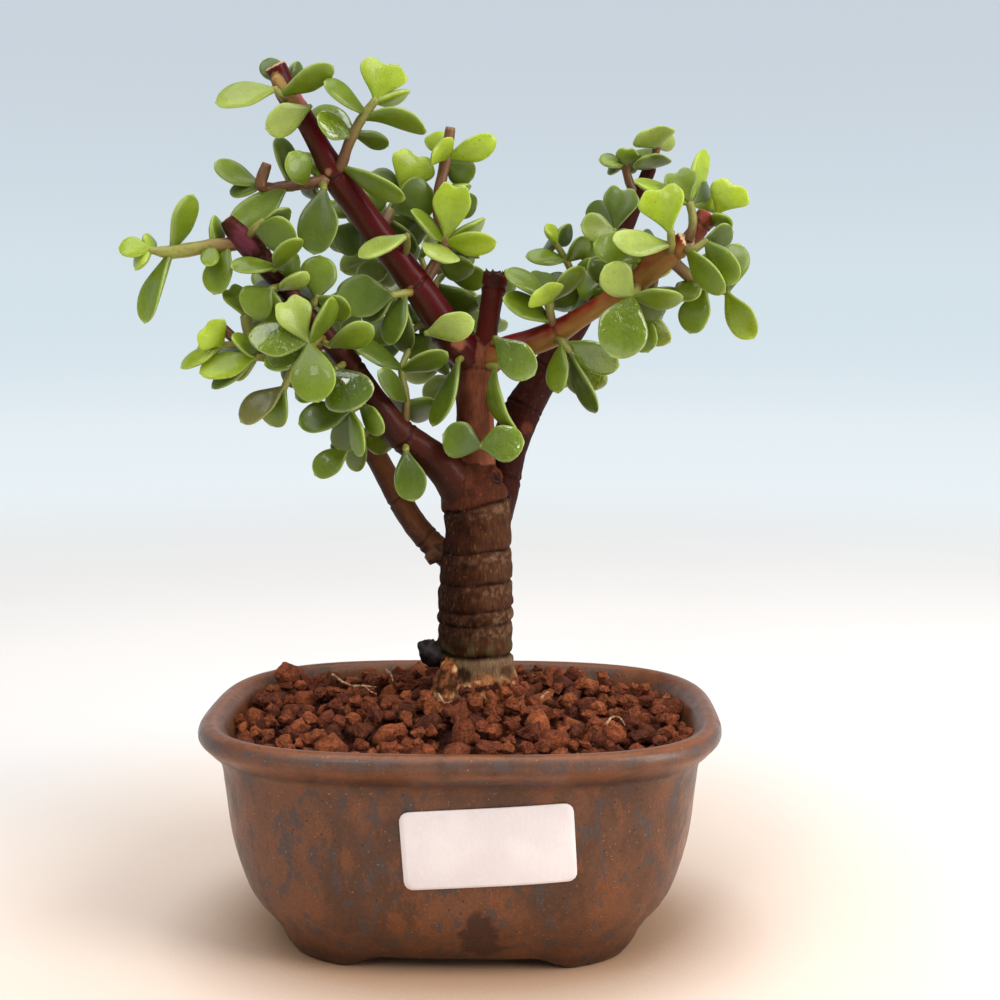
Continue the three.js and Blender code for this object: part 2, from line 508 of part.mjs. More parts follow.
function makePot() {
  const shell = solidOf(loft([...POT_OUTSIDE, ...POT_INSIDE].map((ring) => roundedRing(...ring))));
  const underside = joined([
    box(FOOT_ARCH_WIDTH, CUT_LENGTH, 2 * FOOT_HEIGHT, 0, 0, 0),
    box(CUT_LENGTH, FOOT_ARCH_DEPTH, 2 * FOOT_HEIGHT, 0, 0, 0),
  ]);
  const drains = [-DRAIN_X, DRAIN_X].map((x) => solidOf(
    new THREE.CylinderGeometry(DRAIN_RADIUS, DRAIN_RADIUS, 2 * FLOOR_TOP, DRAIN_SIDES)
      .rotateX(Math.PI / 2).translate(x, 0, FLOOR_TOP)));
  return shell.subtract(joined([underside, ...drains]));
}

// Half width and half depth of the pot's inside at a height.
function insideAt(height) {
  const rings = [...POT_INSIDE].reverse();
  for (let i = 0; i + 1 < rings.length; i += 1) {
    const [low, high] = [rings[i], rings[i + 1]];
    if (height <= high[0]) {
      const t = (height - low[0]) / (high[0] - low[0]);
      return [low[1] + t * (high[1] - low[1]), low[2] + t * (high[2] - low[2])];
    }
  }
  return rings.at(-1).slice(1);
}

// ---------------------------------------------------------------- drain mesh
function makeDrainMesh(x) {
  const pitch = MESH_SIZE / (MESH_OPENINGS + 2 * MESH_BORDER);
  const opening = pitch * MESH_OPENING;
  const z = FLOOR_TOP + GAP + MESH_THICKNESS / 2;
  const openings = [];
  for (let i = 0; i < MESH_OPENINGS; i += 1) {
    for (let j = 0; j < MESH_OPENINGS; j += 1) {
      const u = (i - (MESH_OPENINGS - 1) / 2) * pitch;
      const v = (j - (MESH_OPENINGS - 1) / 2) * pitch;
      openings.push(box(opening, opening, 2 * MESH_THICKNESS, x + u, v, z));
    }
  }
  return box(MESH_SIZE, MESH_SIZE, MESH_THICKNESS, x, 0, z).subtract(joined(openings));
}

// ---------------------------------------------------------------- random draws
// A stream of draws from 0 to 1, by the usual linear congruential rule.
function randomStream(seed) {
  const range = 2 ** 32;
  let draw = seed;
  return () => {
    draw = (draw * 1664525 + 1013904223) % range;
    return draw / range;
  };
}

// ---------------------------------------------------------------- trunk
function trunkBody(grow) {
  const rings = TRUNK_SECTIONS.map(([height, x, radius]) => Array.from({ length: TRUNK_SIDES }, (_, k) => {
    const angle = 2 * Math.PI * k / TRUNK_SIDES;
    return new THREE.Vector3(
      x + (radius + grow) * Math.cos(angle),
      TRUNK_Y + (radius + grow) * Math.sin(angle),
      height);
  }));
  rings[0].forEach((point) => { point.z -= grow; });
  return solidOf(loft(rings));
}

function rootBodies(grow) {
  const [, x] = TRUNK_SECTIONS[3];
  return ROOTS.map(([degrees, reach, radius]) => {
    const angle = degrees * Math.PI / 180;
    const points = ROOT_PROFILE.map(([far, height]) => new THREE.Vector3(
      x + far * reach * Math.cos(angle), TRUNK_Y + far * reach * Math.sin(angle), height));
    const radii = ROOT_PROFILE.map(([, , thick]) => radius * thick + grow);
    return solidOf(tube(points, radii, ROOT_SIDES));
  });
}

function boughBodies(grow) {
  return [...Object.values(BOUGHS), ...Object.values(STUBS)].map((rows) => {
    const sides = rows[0][3] > THICK_BOUGH ? BOUGH_SIDES : BOUGH_SIDES - 1;
    return solidOf(tube(rows.map(onView), rows.map((row) => row[3] + grow), sides));
  });
}

// ---------------------------------------------------------------- soil
// A bed of granules: a relief of jittered peaks and hollows over a heap, inside the pot.
function makeSoil(cuts) {
  const chance = randomStream(SOIL_SEED);
  const columns = Math.ceil(2 * POT_INSIDE[0][1] / GRANULE_PITCH) + 2;
  const rows = Math.ceil(2 * POT_INSIDE[0][2] / GRANULE_PITCH) + 2;
  const places = [];
  for (let j = 0; j <= rows; j += 1) {
    for (let i = 0; i <= columns; i += 1) {
      const x = (i - columns / 2) * GRANULE_PITCH + (chance() - 0.5) * GRANULE_JITTER;
      const y = (j - rows / 2) * GRANULE_PITCH + (chance() - 0.5) * GRANULE_JITTER;
      const edge = Math.hypot(x / POT_INSIDE[0][1], y / POT_INSIDE[0][2]);
      const heap = SOIL_HEAP * Math.max(0, 1 - edge) ** SOIL_HEAP_POWER;
      const bump = ((i + j) % 2 ? GRANULE_RELIEF : -GRANULE_RELIEF) * (0.5 + chance());
      places.push(new THREE.Vector3(x, y, SOIL_RIM_HEIGHT + heap + bump));
    }
  }
  const over = places.length;
  const floor = FLOOR_TOP + GAP;
  const below = 0;                  // the relief's block runs lower than the bed and is cut to it
  places.push(...places.slice(0, over).map((point) => new THREE.Vector3(point.x, point.y, below)));
  const triangles = [];
  const at = (i, j) => j * (columns + 1) + i;
  for (let j = 0; j < rows; j += 1) {
    for (let i = 0; i < columns; i += 1) {
      const [a, b, c, d] = [at(i, j), at(i + 1, j), at(i + 1, j + 1), at(i, j + 1)];
      const halves = (i + j) % 2 ? [a, b, c, a, c, d] : [a, b, d, b, c, d];
      triangles.push(...halves, ...halves.map((k) => k + over).reverse());
    }
  }
  const wall = (a, b) => triangles.push(a, a + over, b, b, a + over, b + over);
  for (let i = 0; i < columns; i += 1) {
    wall(at(i, 0), at(i + 1, 0));
    wall(at(i + 1, rows), at(i, rows));
  }
  for (let j = 0; j < rows; j += 1) {
    wall(at(0, j + 1), at(0, j));
    wall(at(columns, j), at(columns, j + 1));
  }
  const geometry = new THREE.BufferGeometry().setFromPoints(places);
  geometry.setIndex(triangles);
  const clear = WALL_LEAN * GAP;
  const bends = POT_INSIDE.map(([height]) => height).filter((z) => z > floor && z < SOIL_RIM_HEIGHT);
  const heights = [floor, ...bends.reverse(), SOIL_TOP];
  const inside = solidOf(loft(heights.map((height) => {
    const [halfWidth, halfDepth] = insideAt(height);
    return roundedRing(height, halfWidth - clear, halfDepth - clear);
  })));
  const pockets = [-DRAIN_X, DRAIN_X].map((x) => box(
    MESH_SIZE + 2 * GAP, MESH_SIZE + 2 * GAP, 2 * (MESH_THICKNESS + 2 * GAP), x, 0, FLOOR_TOP));
  return largestOf(solidOf(geometry).intersect(inside).subtract(joined([...cuts, ...pockets])));
}

// ---------------------------------------------------------------- label
// A paper label that follows the pot's front wall.
function frontWall(x, z) {
  let i = 0;
  while (POT_OUTSIDE[i + 1][0] < z) i += 1;
  const [low, high] = [POT_OUTSIDE[i], POT_OUTSIDE[i + 1]];
  const t = (z - low[0]) / (high[0] - low[0]);
  const halfWidth = low[1] + t * (high[1] - low[1]);
  const halfDepth = low[2] + t * (high[2] - low[2]);
  return -halfDepth * (1 - Math.abs(x / halfWidth) ** POT_SQUARENESS) ** (1 / POT_SQUARENESS);
}

function makeLabel() {
  const columns = 6;
  const rows = 2;
  const corner = 0.06;              // how much the end columns are shortened, for rounded corners
  const places = [];
  for (const off of [GAP, GAP + LABEL_THICKNESS]) {
    for (let j = 0; j <= rows; j += 1) {
      for (let i = 0; i <= columns; i += 1) {
        const u = (i / columns - 0.5) * LABEL_WIDTH;
        const short = i === 0 || i === columns ? 1 - 2 * corner : 1;
        const v = (j / rows - 0.5) * LABEL_HEIGHT * short;
        const x = LABEL_MIDDLE[0] + u - v * LABEL_TILT;
        const z = LABEL_MIDDLE[1] + v + u * LABEL_TILT;
        places.push(new THREE.Vector3(x, frontWall(x, z) - off, z));
      }
    }
  }
  const layer = (columns + 1) * (rows + 1);
  const at = (i, j) => j * (columns + 1) + i;
  const triangles = [];
  for (let j = 0; j < rows; j += 1) {
    for (let i = 0; i < columns; i += 1) {
      const back = [at(i, j), at(i + 1, j + 1), at(i + 1, j), at(i, j), at(i, j + 1), at(i + 1, j + 1)];
      triangles.push(...back, ...back.map((k) => k + layer).reverse());
    }
  }
  const wall = (a, b) => triangles.push(a, b, a + layer, b, b + layer, a + layer);
  for (let i = 0; i < columns; i += 1) {
    wall(at(i, 0), at(i + 1, 0));
    wall(at(i + 1, rows), at(i, rows));
  }
  for (let j = 0; j < rows; j += 1) {
    wall(at(0, j + 1), at(0, j));
    wall(at(columns, j), at(columns, j + 1));
  }
  const geometry = new THREE.BufferGeometry().setFromPoints(places);
  geometry.setIndex(triangles);
  return geometry;
}

// ---------------------------------------------------------------- leaves
// A blade is a plump obovate leaf: half width along its length, as shares of length and half width.
const BLADE_OUTLINE = [[0, 0.04], [0.27, 0.52], [0.62, 1], [0.9, 0.76], [1, 0]];
const NOTCHED_OUTLINE = [[0, 0.04], [0.42, 0.5], [0.86, 1], [1.06, 0.6], [1, 0]];
const BLADE_MIDDLE = 0.55;        // where it is thickest
const EDGE_THICKNESS = 0.3;       // taken at its edge by the clearance rule, as a share

function halfWidthAt(share, outline) {
  for (let i = 0; i + 1 < outline.length; i += 1) {
    const [low, high] = [outline[i], outline[i + 1]];
    if (share <= high[0]) return low[1] + (share - low[0]) / (high[0] - low[0]) * (high[1] - low[1]);
  }
  return 0;
}

function makeBlade(twigPoint, tip, width, face, notched = false) {
  const along = new THREE.Vector3().subVectors(tip, twigPoint).normalize();
  const foot = twigPoint.clone().addScaledVector(along, -LEAF_ROOT);
  const length = tip.distanceTo(foot);
  const normal = face.clone().addScaledVector(along, -face.dot(along)).normalize();
  const side = new THREE.Vector3().crossVectors(along, normal);
  return { foot, length, width, along, normal, side, shape: notched ? NOTCHED_OUTLINE : BLADE_OUTLINE };
}

// A blade drawn on the front view: its face looks at the eye, then rolls about its own length.
function drawnBlade(foot, tip, width, roll, notched) {
  const look = EYE.clone().sub(foot).normalize();
  const flat = makeBlade(foot, tip, width, look);
  const angle = roll * Math.PI / 180;
  const face = flat.normal.clone().multiplyScalar(Math.cos(angle))
    .addScaledVector(flat.side, Math.sin(angle));
  return makeBlade(foot, tip, width, face, notched);
}

function onBlade(blade, share, across, off) {
  return blade.foot.clone()
    .addScaledVector(blade.along, share * blade.length)
    .addScaledVector(blade.side, across)
    .addScaledVector(blade.normal, off);
}

function bladePoints(blade) {
  const half = blade.width / 2;
  const lift = LEAF_FOLD * blade.width;
  const edge = (hand) => blade.shape.slice(1, -1).map(
    ([share, wide]) => onBlade(blade, share, hand * wide * half, lift * wide));
  const outline = [
    onBlade(blade, 0, 0, 0), ...edge(1), onBlade(blade, 1, 0, 0), ...edge(-1).reverse(),
  ];
  const over = onBlade(blade, BLADE_MIDDLE, 0, LEAF_THICKNESS / 2);
  const under = onBlade(blade, BLADE_MIDDLE, 0, -LEAF_THICKNESS / 2);
  return { outline, over, under };
}

function bladeSolid(blade) {
  const { outline, over, under } = bladePoints(blade);
  const count = outline.length;
  const triangles = [];
  for (let i = 0; i < count; i += 1) {
    const next = (i + 1) % count;
    triangles.push(i, next, count, next, i, count + 1);
  }
  const geometry = new THREE.BufferGeometry().setFromPoints([...outline, over, under]);
  geometry.setIndex(triangles);
  return solidOf(geometry);
}

// Points that stand for a blade when its clearance is tested: round its edge and over both faces.
function bladeSamples(blade) {
  const { outline, over, under } = bladePoints(blade);
  const between = outline.map((point, i) => point.clone().lerp(outline[(i + 1) % outline.length], 0.5));
  const edge = [...outline, ...between];
  const faces = [over, under].flatMap((peak) => edge.map((point) => point.clone().lerp(peak, 0.5)));
  return [...edge, ...faces, over, under];
}

// True where a point, with a margin round it, is inside a blade.
function insideBlade(point, blade, margin) {
  const from = new THREE.Vector3().subVectors(point, blade.foot);
  const share = from.dot(blade.along) / blade.length;
  if (share < -margin / blade.length || share > 1 + margin / blade.length) return false;
  const half = halfWidthAt(Math.min(Math.max(share, 0), 1), blade.shape) * blade.width / 2;
  const across = Math.abs(from.dot(blade.side));
  if (across > half + margin) return false;
  const lift = half > 0 ? LEAF_FOLD * 2 * Math.min(across, half) : 0;
  const thick = LEAF_THICKNESS / 2 * Math.max(EDGE_THICKNESS, 1 - across / (half + margin));
  return Math.abs(from.dot(blade.normal) - lift) < thick + margin;
}

function distanceToSegment(point, start, end) {
  const line = new THREE.Vector3().subVectors(end, start);
  const from = new THREE.Vector3().subVectors(point, start);
  const t = Math.min(Math.max(from.dot(line) / line.lengthSq(), 0), 1);
  return from.addScaledVector(line, -t).length();
}

// Everything that a new blade has to stay clear of.
const placedBlades = [];
const placedStems = [];           // start, end, radius, owner
const OWN_CLEARANCE = 0.1;        // between the blades of one piece
const SHARED_FOOT = 0.3;          // share of a blade's length that may run into a blade of its piece
const ROOT_SHARE = 0.42;          // share that may run into its own twig or a bough
const STEM_SAMPLES = [0.2, 0.4, 0.6, 0.8];

function addStems(points, radii, owner) {
  for (let i = 0; i + 1 < points.length; i += 1) {
    const radius = Math.max(radii[i], radii[i + 1]);
    placedStems.push({ start: points[i], end: points[i + 1], radius, owner });
  }
}

// True where a blade keeps its distance from all that is placed. Near its foot it may touch its own
// twig, a bough, and the other blades of its own piece.
function bladeIsClear(blade, owner) {
  const samples = bladeSamples(blade);
  const middle = onBlade(blade, 0.5, 0, 0);
  const beyond = (point, share) => point.distanceTo(blade.foot) > share * blade.length;
  for (const other of placedBlades) {
    const reach = (blade.length + other.blade.length) / 2 + blade.width;
    if (middle.distanceTo(other.middle) > reach) continue;
    const own = other.owner === owner;
    const margin = own ? OWN_CLEARANCE : LEAF_CLEARANCE;
    const meets = (point, target) => insideBlade(point, target, margin)
      && beyond(point, own ? SHARED_FOOT : 0);
    if (samples.some((point) => meets(point, other.blade))) return false;
    if (other.samples.some((point) => meets(point, blade))) return false;
  }
  for (const stem of placedStems) {
    const own = stem.owner === owner;
    const reach = stem.radius + (own ? 2 * OWN_CLEARANCE : LEAF_CLEARANCE);
    const root = own || stem.owner === 'bough' ? ROOT_SHARE : 0;
    const near = (point) => distanceToSegment(point, stem.start, stem.end) < reach;
    if (samples.some((point) => beyond(point, root) && near(point))) return false;
    const margin = stem.radius + (own ? 0 : LEAF_CLEARANCE / 2);
    const within = (point) => insideBlade(point, blade, margin);
    const along = STEM_SAMPLES.map((t) => stem.start.clone().lerp(stem.end, t));
    if (along.some((point) => beyond(point, root) && within(point))) return false;
  }
  return true;
}

function keepBlade(blade, owner) {
  placedBlades.push({ blade, owner, middle: onBlade(blade, 0.5, 0, 0), samples: bladeSamples(blade) });
  return blade;
}

// A drawn leaf keeps its place on the front view. It leans back or forward until it is clear.
const LEANS = [0, 1.5, -1.5, 3, -3, 4.5, -4.5, 6, -6, 8, -8, 10, -10, 12, -12];
function drawnLeaf(foot, [, u, v, depth, width, roll, notched], owner) {
  for (const lean of LEANS) {
    const blade = drawnBlade(foot, onView([u, v, foot.y + depth + lean]), width, roll, notched);
    if (bladeIsClear(blade, owner)) return keepBlade(blade, owner);
  }
  return null;
}

// A grown leaf leans from its twig, and turns about it until it is clear.
const TURNS = [0, 20, -20, 40, -40].map((degrees) => degrees * Math.PI / 180);
function grownLeaf(foot, along, azimuth, length, owner) {
  const level = new THREE.Vector3(0, 0, 1);
  const first = new THREE.Vector3().crossVectors(along, level).normalize();
  const second = new THREE.Vector3().crossVectors(first, along);
  for (const turn of TURNS) {
    const angle = azimuth + turn;
    const out = first.clone().multiplyScalar(Math.cos(angle)).addScaledVector(second, Math.sin(angle));
    const way = along.clone().multiplyScalar(Math.cos(LEAF_LEAN)).addScaledVector(out, Math.sin(LEAF_LEAN));
    const tip = foot.clone().addScaledVector(way, length);
    const blade = makeBlade(foot, tip, length * GROWN_LEAF_WIDTH, along);
    if (bladeIsClear(blade, owner)) return keepBlade(blade, owner);
  }
  return null;
}

// Crossed pairs of grown leaves up a twig, each leaf's length drawn about the given one.
function grownLeaves(points, { pairs, leaf }, chance, owner) {
  const blades = [];
  for (let pair = 0; pair < pairs; pair += 1) {
    const place = (points.length - 1) * (pair + 1) / pairs;
    const foot = alongTwig(points, place);
    const along = points[Math.ceil(place)].clone().sub(points[Math.ceil(place) - 1]).normalize();
    for (const half of [0, Math.PI]) {
      const length = leaf * (1 + LENGTH_SPREAD * (chance() - 0.5));
      blades.push(grownLeaf(foot, along, FIRST_PAIR + half + pair * CROSSED, length, owner));
    }
  }
  return blades;
}

function alongTwig(points, place) {
  const i = Math.min(Math.floor(place), points.length - 2);
  return points[i].clone().lerp(points[i + 1], place - i);
}

function twigRadii(points, thick) {
  if (thick.length === points.length) return thick;
  const [root, tip] = thick;
  return points.map((_, i) => root + (tip - root) * i / (points.length - 1));
}

const TWIG_SIDES = 4;

function twigSolid(points, radii) {
  const [before, last] = points.slice(-2);
  const end = last.clone().addScaledVector(last.clone().sub(before).normalize(), TWIG_END);
  return solidOf(tube([...points.slice(0, -1), end], radii, TWIG_SIDES));
}

// ---------------------------------------------------------------- the group
const materials = {
  glaze: new THREE.MeshStandardMaterial({ color: 0x5a3626, roughness: 0.35, metalness: 0 }),
  granules: new THREE.MeshStandardMaterial({ color: 0x5e2f20, roughness: 0.95, metalness: 0 }),
  plastic: new THREE.MeshStandardMaterial({ color: 0x1f2420, roughness: 0.6, metalness: 0 }),
  bark: new THREE.MeshStandardMaterial({ color: 0x4a2a1a, roughness: 0.8, metalness: 0 }),
  leaf: new THREE.MeshStandardMaterial({ color: 0x6f9a2c, roughness: 0.35, metalness: 0 }),
  paper: new THREE.MeshStandardMaterial({ color: 0xf2efe9, roughness: 0.5, metalness: 0 }),
};

const group = new THREE.Group();
function addPiece(name, geometry, material) {
  const mesh = new THREE.Mesh(geometry, material.clone());
  mesh.name = name;
  group.add(mesh);
}

const boughs = joined([trunkBody(0), ...rootBodies(0), ...boughBodies(0)]);
const boughsGrown = joined([trunkBody(GAP), ...rootBodies(GAP), ...boughBodies(GAP)]);
addPiece('pot', geometryOf(makePot()), materials.glaze);
addPiece('soil', geometryOf(makeSoil([boughsGrown])), materials.granules);
addPiece('drain_mesh_left', geometryOf(makeDrainMesh(-DRAIN_X)), materials.plastic);
addPiece('drain_mesh_right', geometryOf(makeDrainMesh(DRAIN_X)), materials.plastic);
addPiece('trunk', geometryOf(largestOf(boughs)), materials.bark);
addPiece('blank_label', makeLabel(), materials.paper);

for (const rows of [...Object.values(BOUGHS), ...Object.values(STUBS)]) {
  addStems(rows.map(onView), rows.map((row) => row[3]), 'bough');
}

// Every shoot's twig is placed first, so that all leaves stay clear of all twigs.
const twigs = Object.entries({ ...SHOOTS, ...GROWN_SHOOTS }).map(([name, shoot]) => {
  const points = shoot.twig.map(onView);
  const radii = twigRadii(points, shoot.thick ?? GROWN_TWIG_RADIUS);
  const owner = shoot.on ?? name;
  addStems(points, radii, owner);
  return { shoot, points, radii, owner };
});

const grownChance = randomStream(GROWN_LEAF_SEED);
const sprays = new Map();         // the solids of each leafy piece
for (const { shoot, points, radii, owner } of twigs) {
  const blades = shoot.leaves
    ? shoot.leaves.map((leaf) => drawnLeaf(alongTwig(points, leaf[0]), leaf, owner))
    : grownLeaves(points, shoot, grownChance, owner);
  const solids = [twigSolid(points, radii), ...blades.filter(Boolean).map(bladeSolid)];
  sprays.set(owner, [...(sprays.get(owner) ?? []), ...solids]);
}
for (const [name, solids] of sprays) {
  addPiece(`shoot_${name}`, geometryOf(largestOf(joined(solids).subtract(boughsGrown))), materials.leaf);
}

const extent = new THREE.Box3().setFromObject(group);
const middle = extent.getCenter(new THREE.Vector3());
for (const mesh of group.children) mesh.geometry.translate(-middle.x, -middle.y, -extent.min.z);

export default group;
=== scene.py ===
"""The looks of the potted dwarf jade bonsai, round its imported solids.

Lengths are in millimetres in the plant's own frame: the pot's middle is at x = y = 0 on the table,
z is up and the front faces -y. in_metres() takes them to the row frame, which Blender shows.
"""

import math
from collections import namedtuple

import bmesh
import bpy
import numpy as np
from mathutils import Euler, Matrix, Vector, noise


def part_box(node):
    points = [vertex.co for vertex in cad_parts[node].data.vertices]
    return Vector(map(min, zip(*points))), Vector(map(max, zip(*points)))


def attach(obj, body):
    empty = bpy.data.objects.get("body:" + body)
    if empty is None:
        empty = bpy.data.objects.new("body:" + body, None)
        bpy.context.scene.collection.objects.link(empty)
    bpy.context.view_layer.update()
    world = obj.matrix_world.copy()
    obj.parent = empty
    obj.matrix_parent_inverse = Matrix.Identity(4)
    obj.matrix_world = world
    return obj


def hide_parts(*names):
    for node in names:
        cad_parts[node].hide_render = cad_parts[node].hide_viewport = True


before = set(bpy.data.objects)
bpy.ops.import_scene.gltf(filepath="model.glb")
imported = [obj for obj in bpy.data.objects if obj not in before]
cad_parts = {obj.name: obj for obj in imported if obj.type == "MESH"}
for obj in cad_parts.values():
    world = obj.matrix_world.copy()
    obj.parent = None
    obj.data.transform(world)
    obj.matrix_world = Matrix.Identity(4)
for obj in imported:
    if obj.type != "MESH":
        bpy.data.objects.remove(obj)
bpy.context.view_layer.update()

MM = 0.001
pot_low, pot_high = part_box("pot")
ORIGIN = np.array([(pot_low.x + pot_high.x) / 2, (pot_low.y + pot_high.y) / 2, 0])

# ---------------------------------------------------------------- sizes, as in the solids
POT_HEIGHT = (pot_high.z - pot_low.z) / MM
POT_SQUARENESS = 3.1              # exponent of the pot's rounded rectangle
POT_OUTSIDE = [                   # height, half width, half depth, from the table up
    (0.5, 48.6, 34.6), (3, 50.2, 36.2), (6.5, 51.6, 37.6), (10, 53.8, 39.4), (14, 57, 41.7),
    (20, 60, 43.8), (32, 63.3, 46), (46, 65, 46.8), (53, 66.1, 47.5), (57, 69.3, 50.6), (60, 71.5, 53.2),
    (62.6, 71, 53),
    (POT_HEIGHT, 69, 51.2)]
POT_INSIDE = [                    # the same from the rim down
    (63.2, 66.6, 48.6), (59, 63.4, 45.6), (46, 61, 43), (28, 58, 40.5), (14, 51, 35), (9, 45, 30)]
FLOOR_TOP = 9
FOOT_HEIGHT = 3.4
FOOT_ARCH_WIDTH = 43
FOOT_ARCH_DEPTH = 28
DRAIN_RADIUS = 5.5
DRAIN_X = 23
SOIL_RIM_HEIGHT = 60.5
SOIL_HEAP = 5
SOIL_HEAP_POWER = 0.8
SOIL_MOUNDS = [                   # x, y, height and radius: back left corner, back, round the trunk
    (-50, 24, 3.5, 15), (-16, 38, 3, 20), (28, 38, 3, 20), (3.5, 12, 2.5, 20)]
LABEL_WIDTH = 44
LABEL_HEIGHT = 21
LABEL_CORNER = 2.4
LABEL_THICKNESS = 0.5
LABEL_MIDDLE = (8.9, 38.7)        # x and z
LABEL_TILT = 0.06                 # up towards the right
LEAF_THICKNESS = 2.6
LEAF_FOLD = 0.07                  # lift of a leaf's sides, per unit of its width
LEAF_ROOT = 0.8                   # how far a leaf's foot is sunk past its twig's middle
TWIG_END = 1                      # how far a twig runs past its last pair

# The trunk from its buried foot up: height, middle x, radius.
TRUNK_Y = 12
TRUNK_SECTIONS = [
    (36, 3.6, 8.5), (54, 3.9, 10.4), (62, 4, 12.3), (66.5, 3.8, 11.9), (71, 3.4, 10.9), (80, 3.1, 10.7),
    (92, 3.3, 10.6), (101, 3.6, 10.3), (107, 3.9, 9.7), (114, 4, 9.4), (119.5, 3.2, 9.8), (124, 2.8, 8.8),
    (127, 2.8, 5.2)]
ROOTS = [                         # direction in degrees, reach, radius at the trunk
    (205, 17, 3.4), (155, 15, 3), (262, 16, 3.6), (318, 16, 3), (12, 16, 3.2), (80, 14, 2.8)]
ROOT_PROFILE = [(0.3, 68, 1), (0.7, 63.5, 0.85), (1.05, 54, 0.4)]  # share of reach, height, of radius

# ---------------------------------------------------------------- front view
# Boughs and shoots are set out on a front view, a board of 1000 x 1000 squares with u to the right
# and v down, as seen from EYE. A place on it is (u, v, y): the square, and the depth behind the
# pot's middle.
EYE = np.array([21, -396.6, 169.5])
BOARD_MIDDLE = 500
BOARD_FOCUS = 1440                # squares from the eye to the board
BOARD_YAW = math.radians(1.5)
BOARD_PITCH = math.radians(6.9)
BOARD_RIGHT = np.array([math.cos(BOARD_YAW), math.sin(BOARD_YAW), 0])
BOARD_FORWARD = np.array([
    -math.sin(BOARD_YAW) * math.cos(BOARD_PITCH),
    math.cos(BOARD_YAW) * math.cos(BOARD_PITCH),
    -math.sin(BOARD_PITCH)])
BOARD_UP = np.cross(BOARD_RIGHT, BOARD_FORWARD)

# Points on the front view, each with its radius. Cut ends are blunt.
BOUGHS = {
    "upright": [(476, 500, 12, 6), (476, 470, 12, 5.6), (475, 430, 12, 5.4), (476, 390, 12, 5.4),
        (478, 358, 12, 5.4)],
    "main_left": [(478, 366, 12, 5), (452, 338, 10, 5), (434, 310, 9, 4.7), (417, 286, 8, 4.4),
        (375, 230, 6, 4.1), (355, 203, 5, 4), (338, 179, 3, 4.1), (322, 151, 1, 3.1),
        (307, 123, 0, 2.9), (291, 97, -1, 2.8), (275, 66, -2, 3.1)],
    "cut_middle": [(482, 366, 12, 4.4), (486, 338, 12, 3.2), (491, 305, 12, 3.1), (494, 288, 12, 3.5),
        (496, 273, 12, 3.7)],
    "low_left": [(462, 492, 9, 6), (440, 464, 7, 5), (400, 434, 4, 4.4), (380, 410, 2, 4.1),
        (362, 385, 0, 3.8), (345, 358, -2, 3.4), (325, 335, -4, 2.9), (292, 297, -6, 2.6),
        (270, 270, -8, 3), (252, 248, -9, 3.5), (238, 234, -10, 3), (226, 219, -11, 2)],
    "lowest_left": [(462, 562, 14, 5), (440, 550, 16, 3.8), (422, 533, 18, 3.7), (404, 507, 21, 3.6),
        (371, 446, 27, 3.3)],
    "back_right": [(490, 512, 16, 7), (503, 484, 21, 5), (508, 450, 24, 5.4), (521, 414, 27, 5.6),
        (538, 384, 31, 5), (560, 348, 36, 4.4), (583, 312, 41, 3.8), (606, 268, 45, 3.3),
        (624, 228, 47, 2.9), (651, 166, 48, 2)],
    "front_right": [(484, 362, 12, 4.6), (506, 350, 10, 3.9), (530, 343, 9, 3.8), (555, 333, 8, 3.6),
        (580, 318, 6, 2.8), (606, 302, 4, 2.7), (634, 284, 2, 3.1), (655, 266, 0, 3.5),
        (686, 241, -3, 3)],
    "back": [(478, 430, 15, 5), (470, 402, 30, 4.2), (462, 366, 42, 3.7), (448, 326, 52, 3.2),
        (432, 286, 60, 2.6)],
}
STUBS = {
    "right_stub": [(676, 250, -2, 2.8), (692, 238, 1, 2.6), (707, 213, 2, 2.7)],
    "lowest_stub": [(440, 552, 12, 2.4), (427, 561, 11, 1.7)],
    "foot_lump": [(446, 656, 12, 3.2), (431, 653, 8, 3.6), (427, 642, 7, 2.4)],
    "knot": [(484, 476, 12, 4.2), (496, 478, 8, 2.8)],
    "top_peg": [(290, 103, -2, 2.6), (282, 92, -4, 2.1), (276, 78, -4, 1.6)],
    "foot_scar": [(459, 656, 7, 2.2), (451, 668, 4.5, 3), (445, 690, 3.5, 3.9), (441, 730, 3, 4.6)],
}

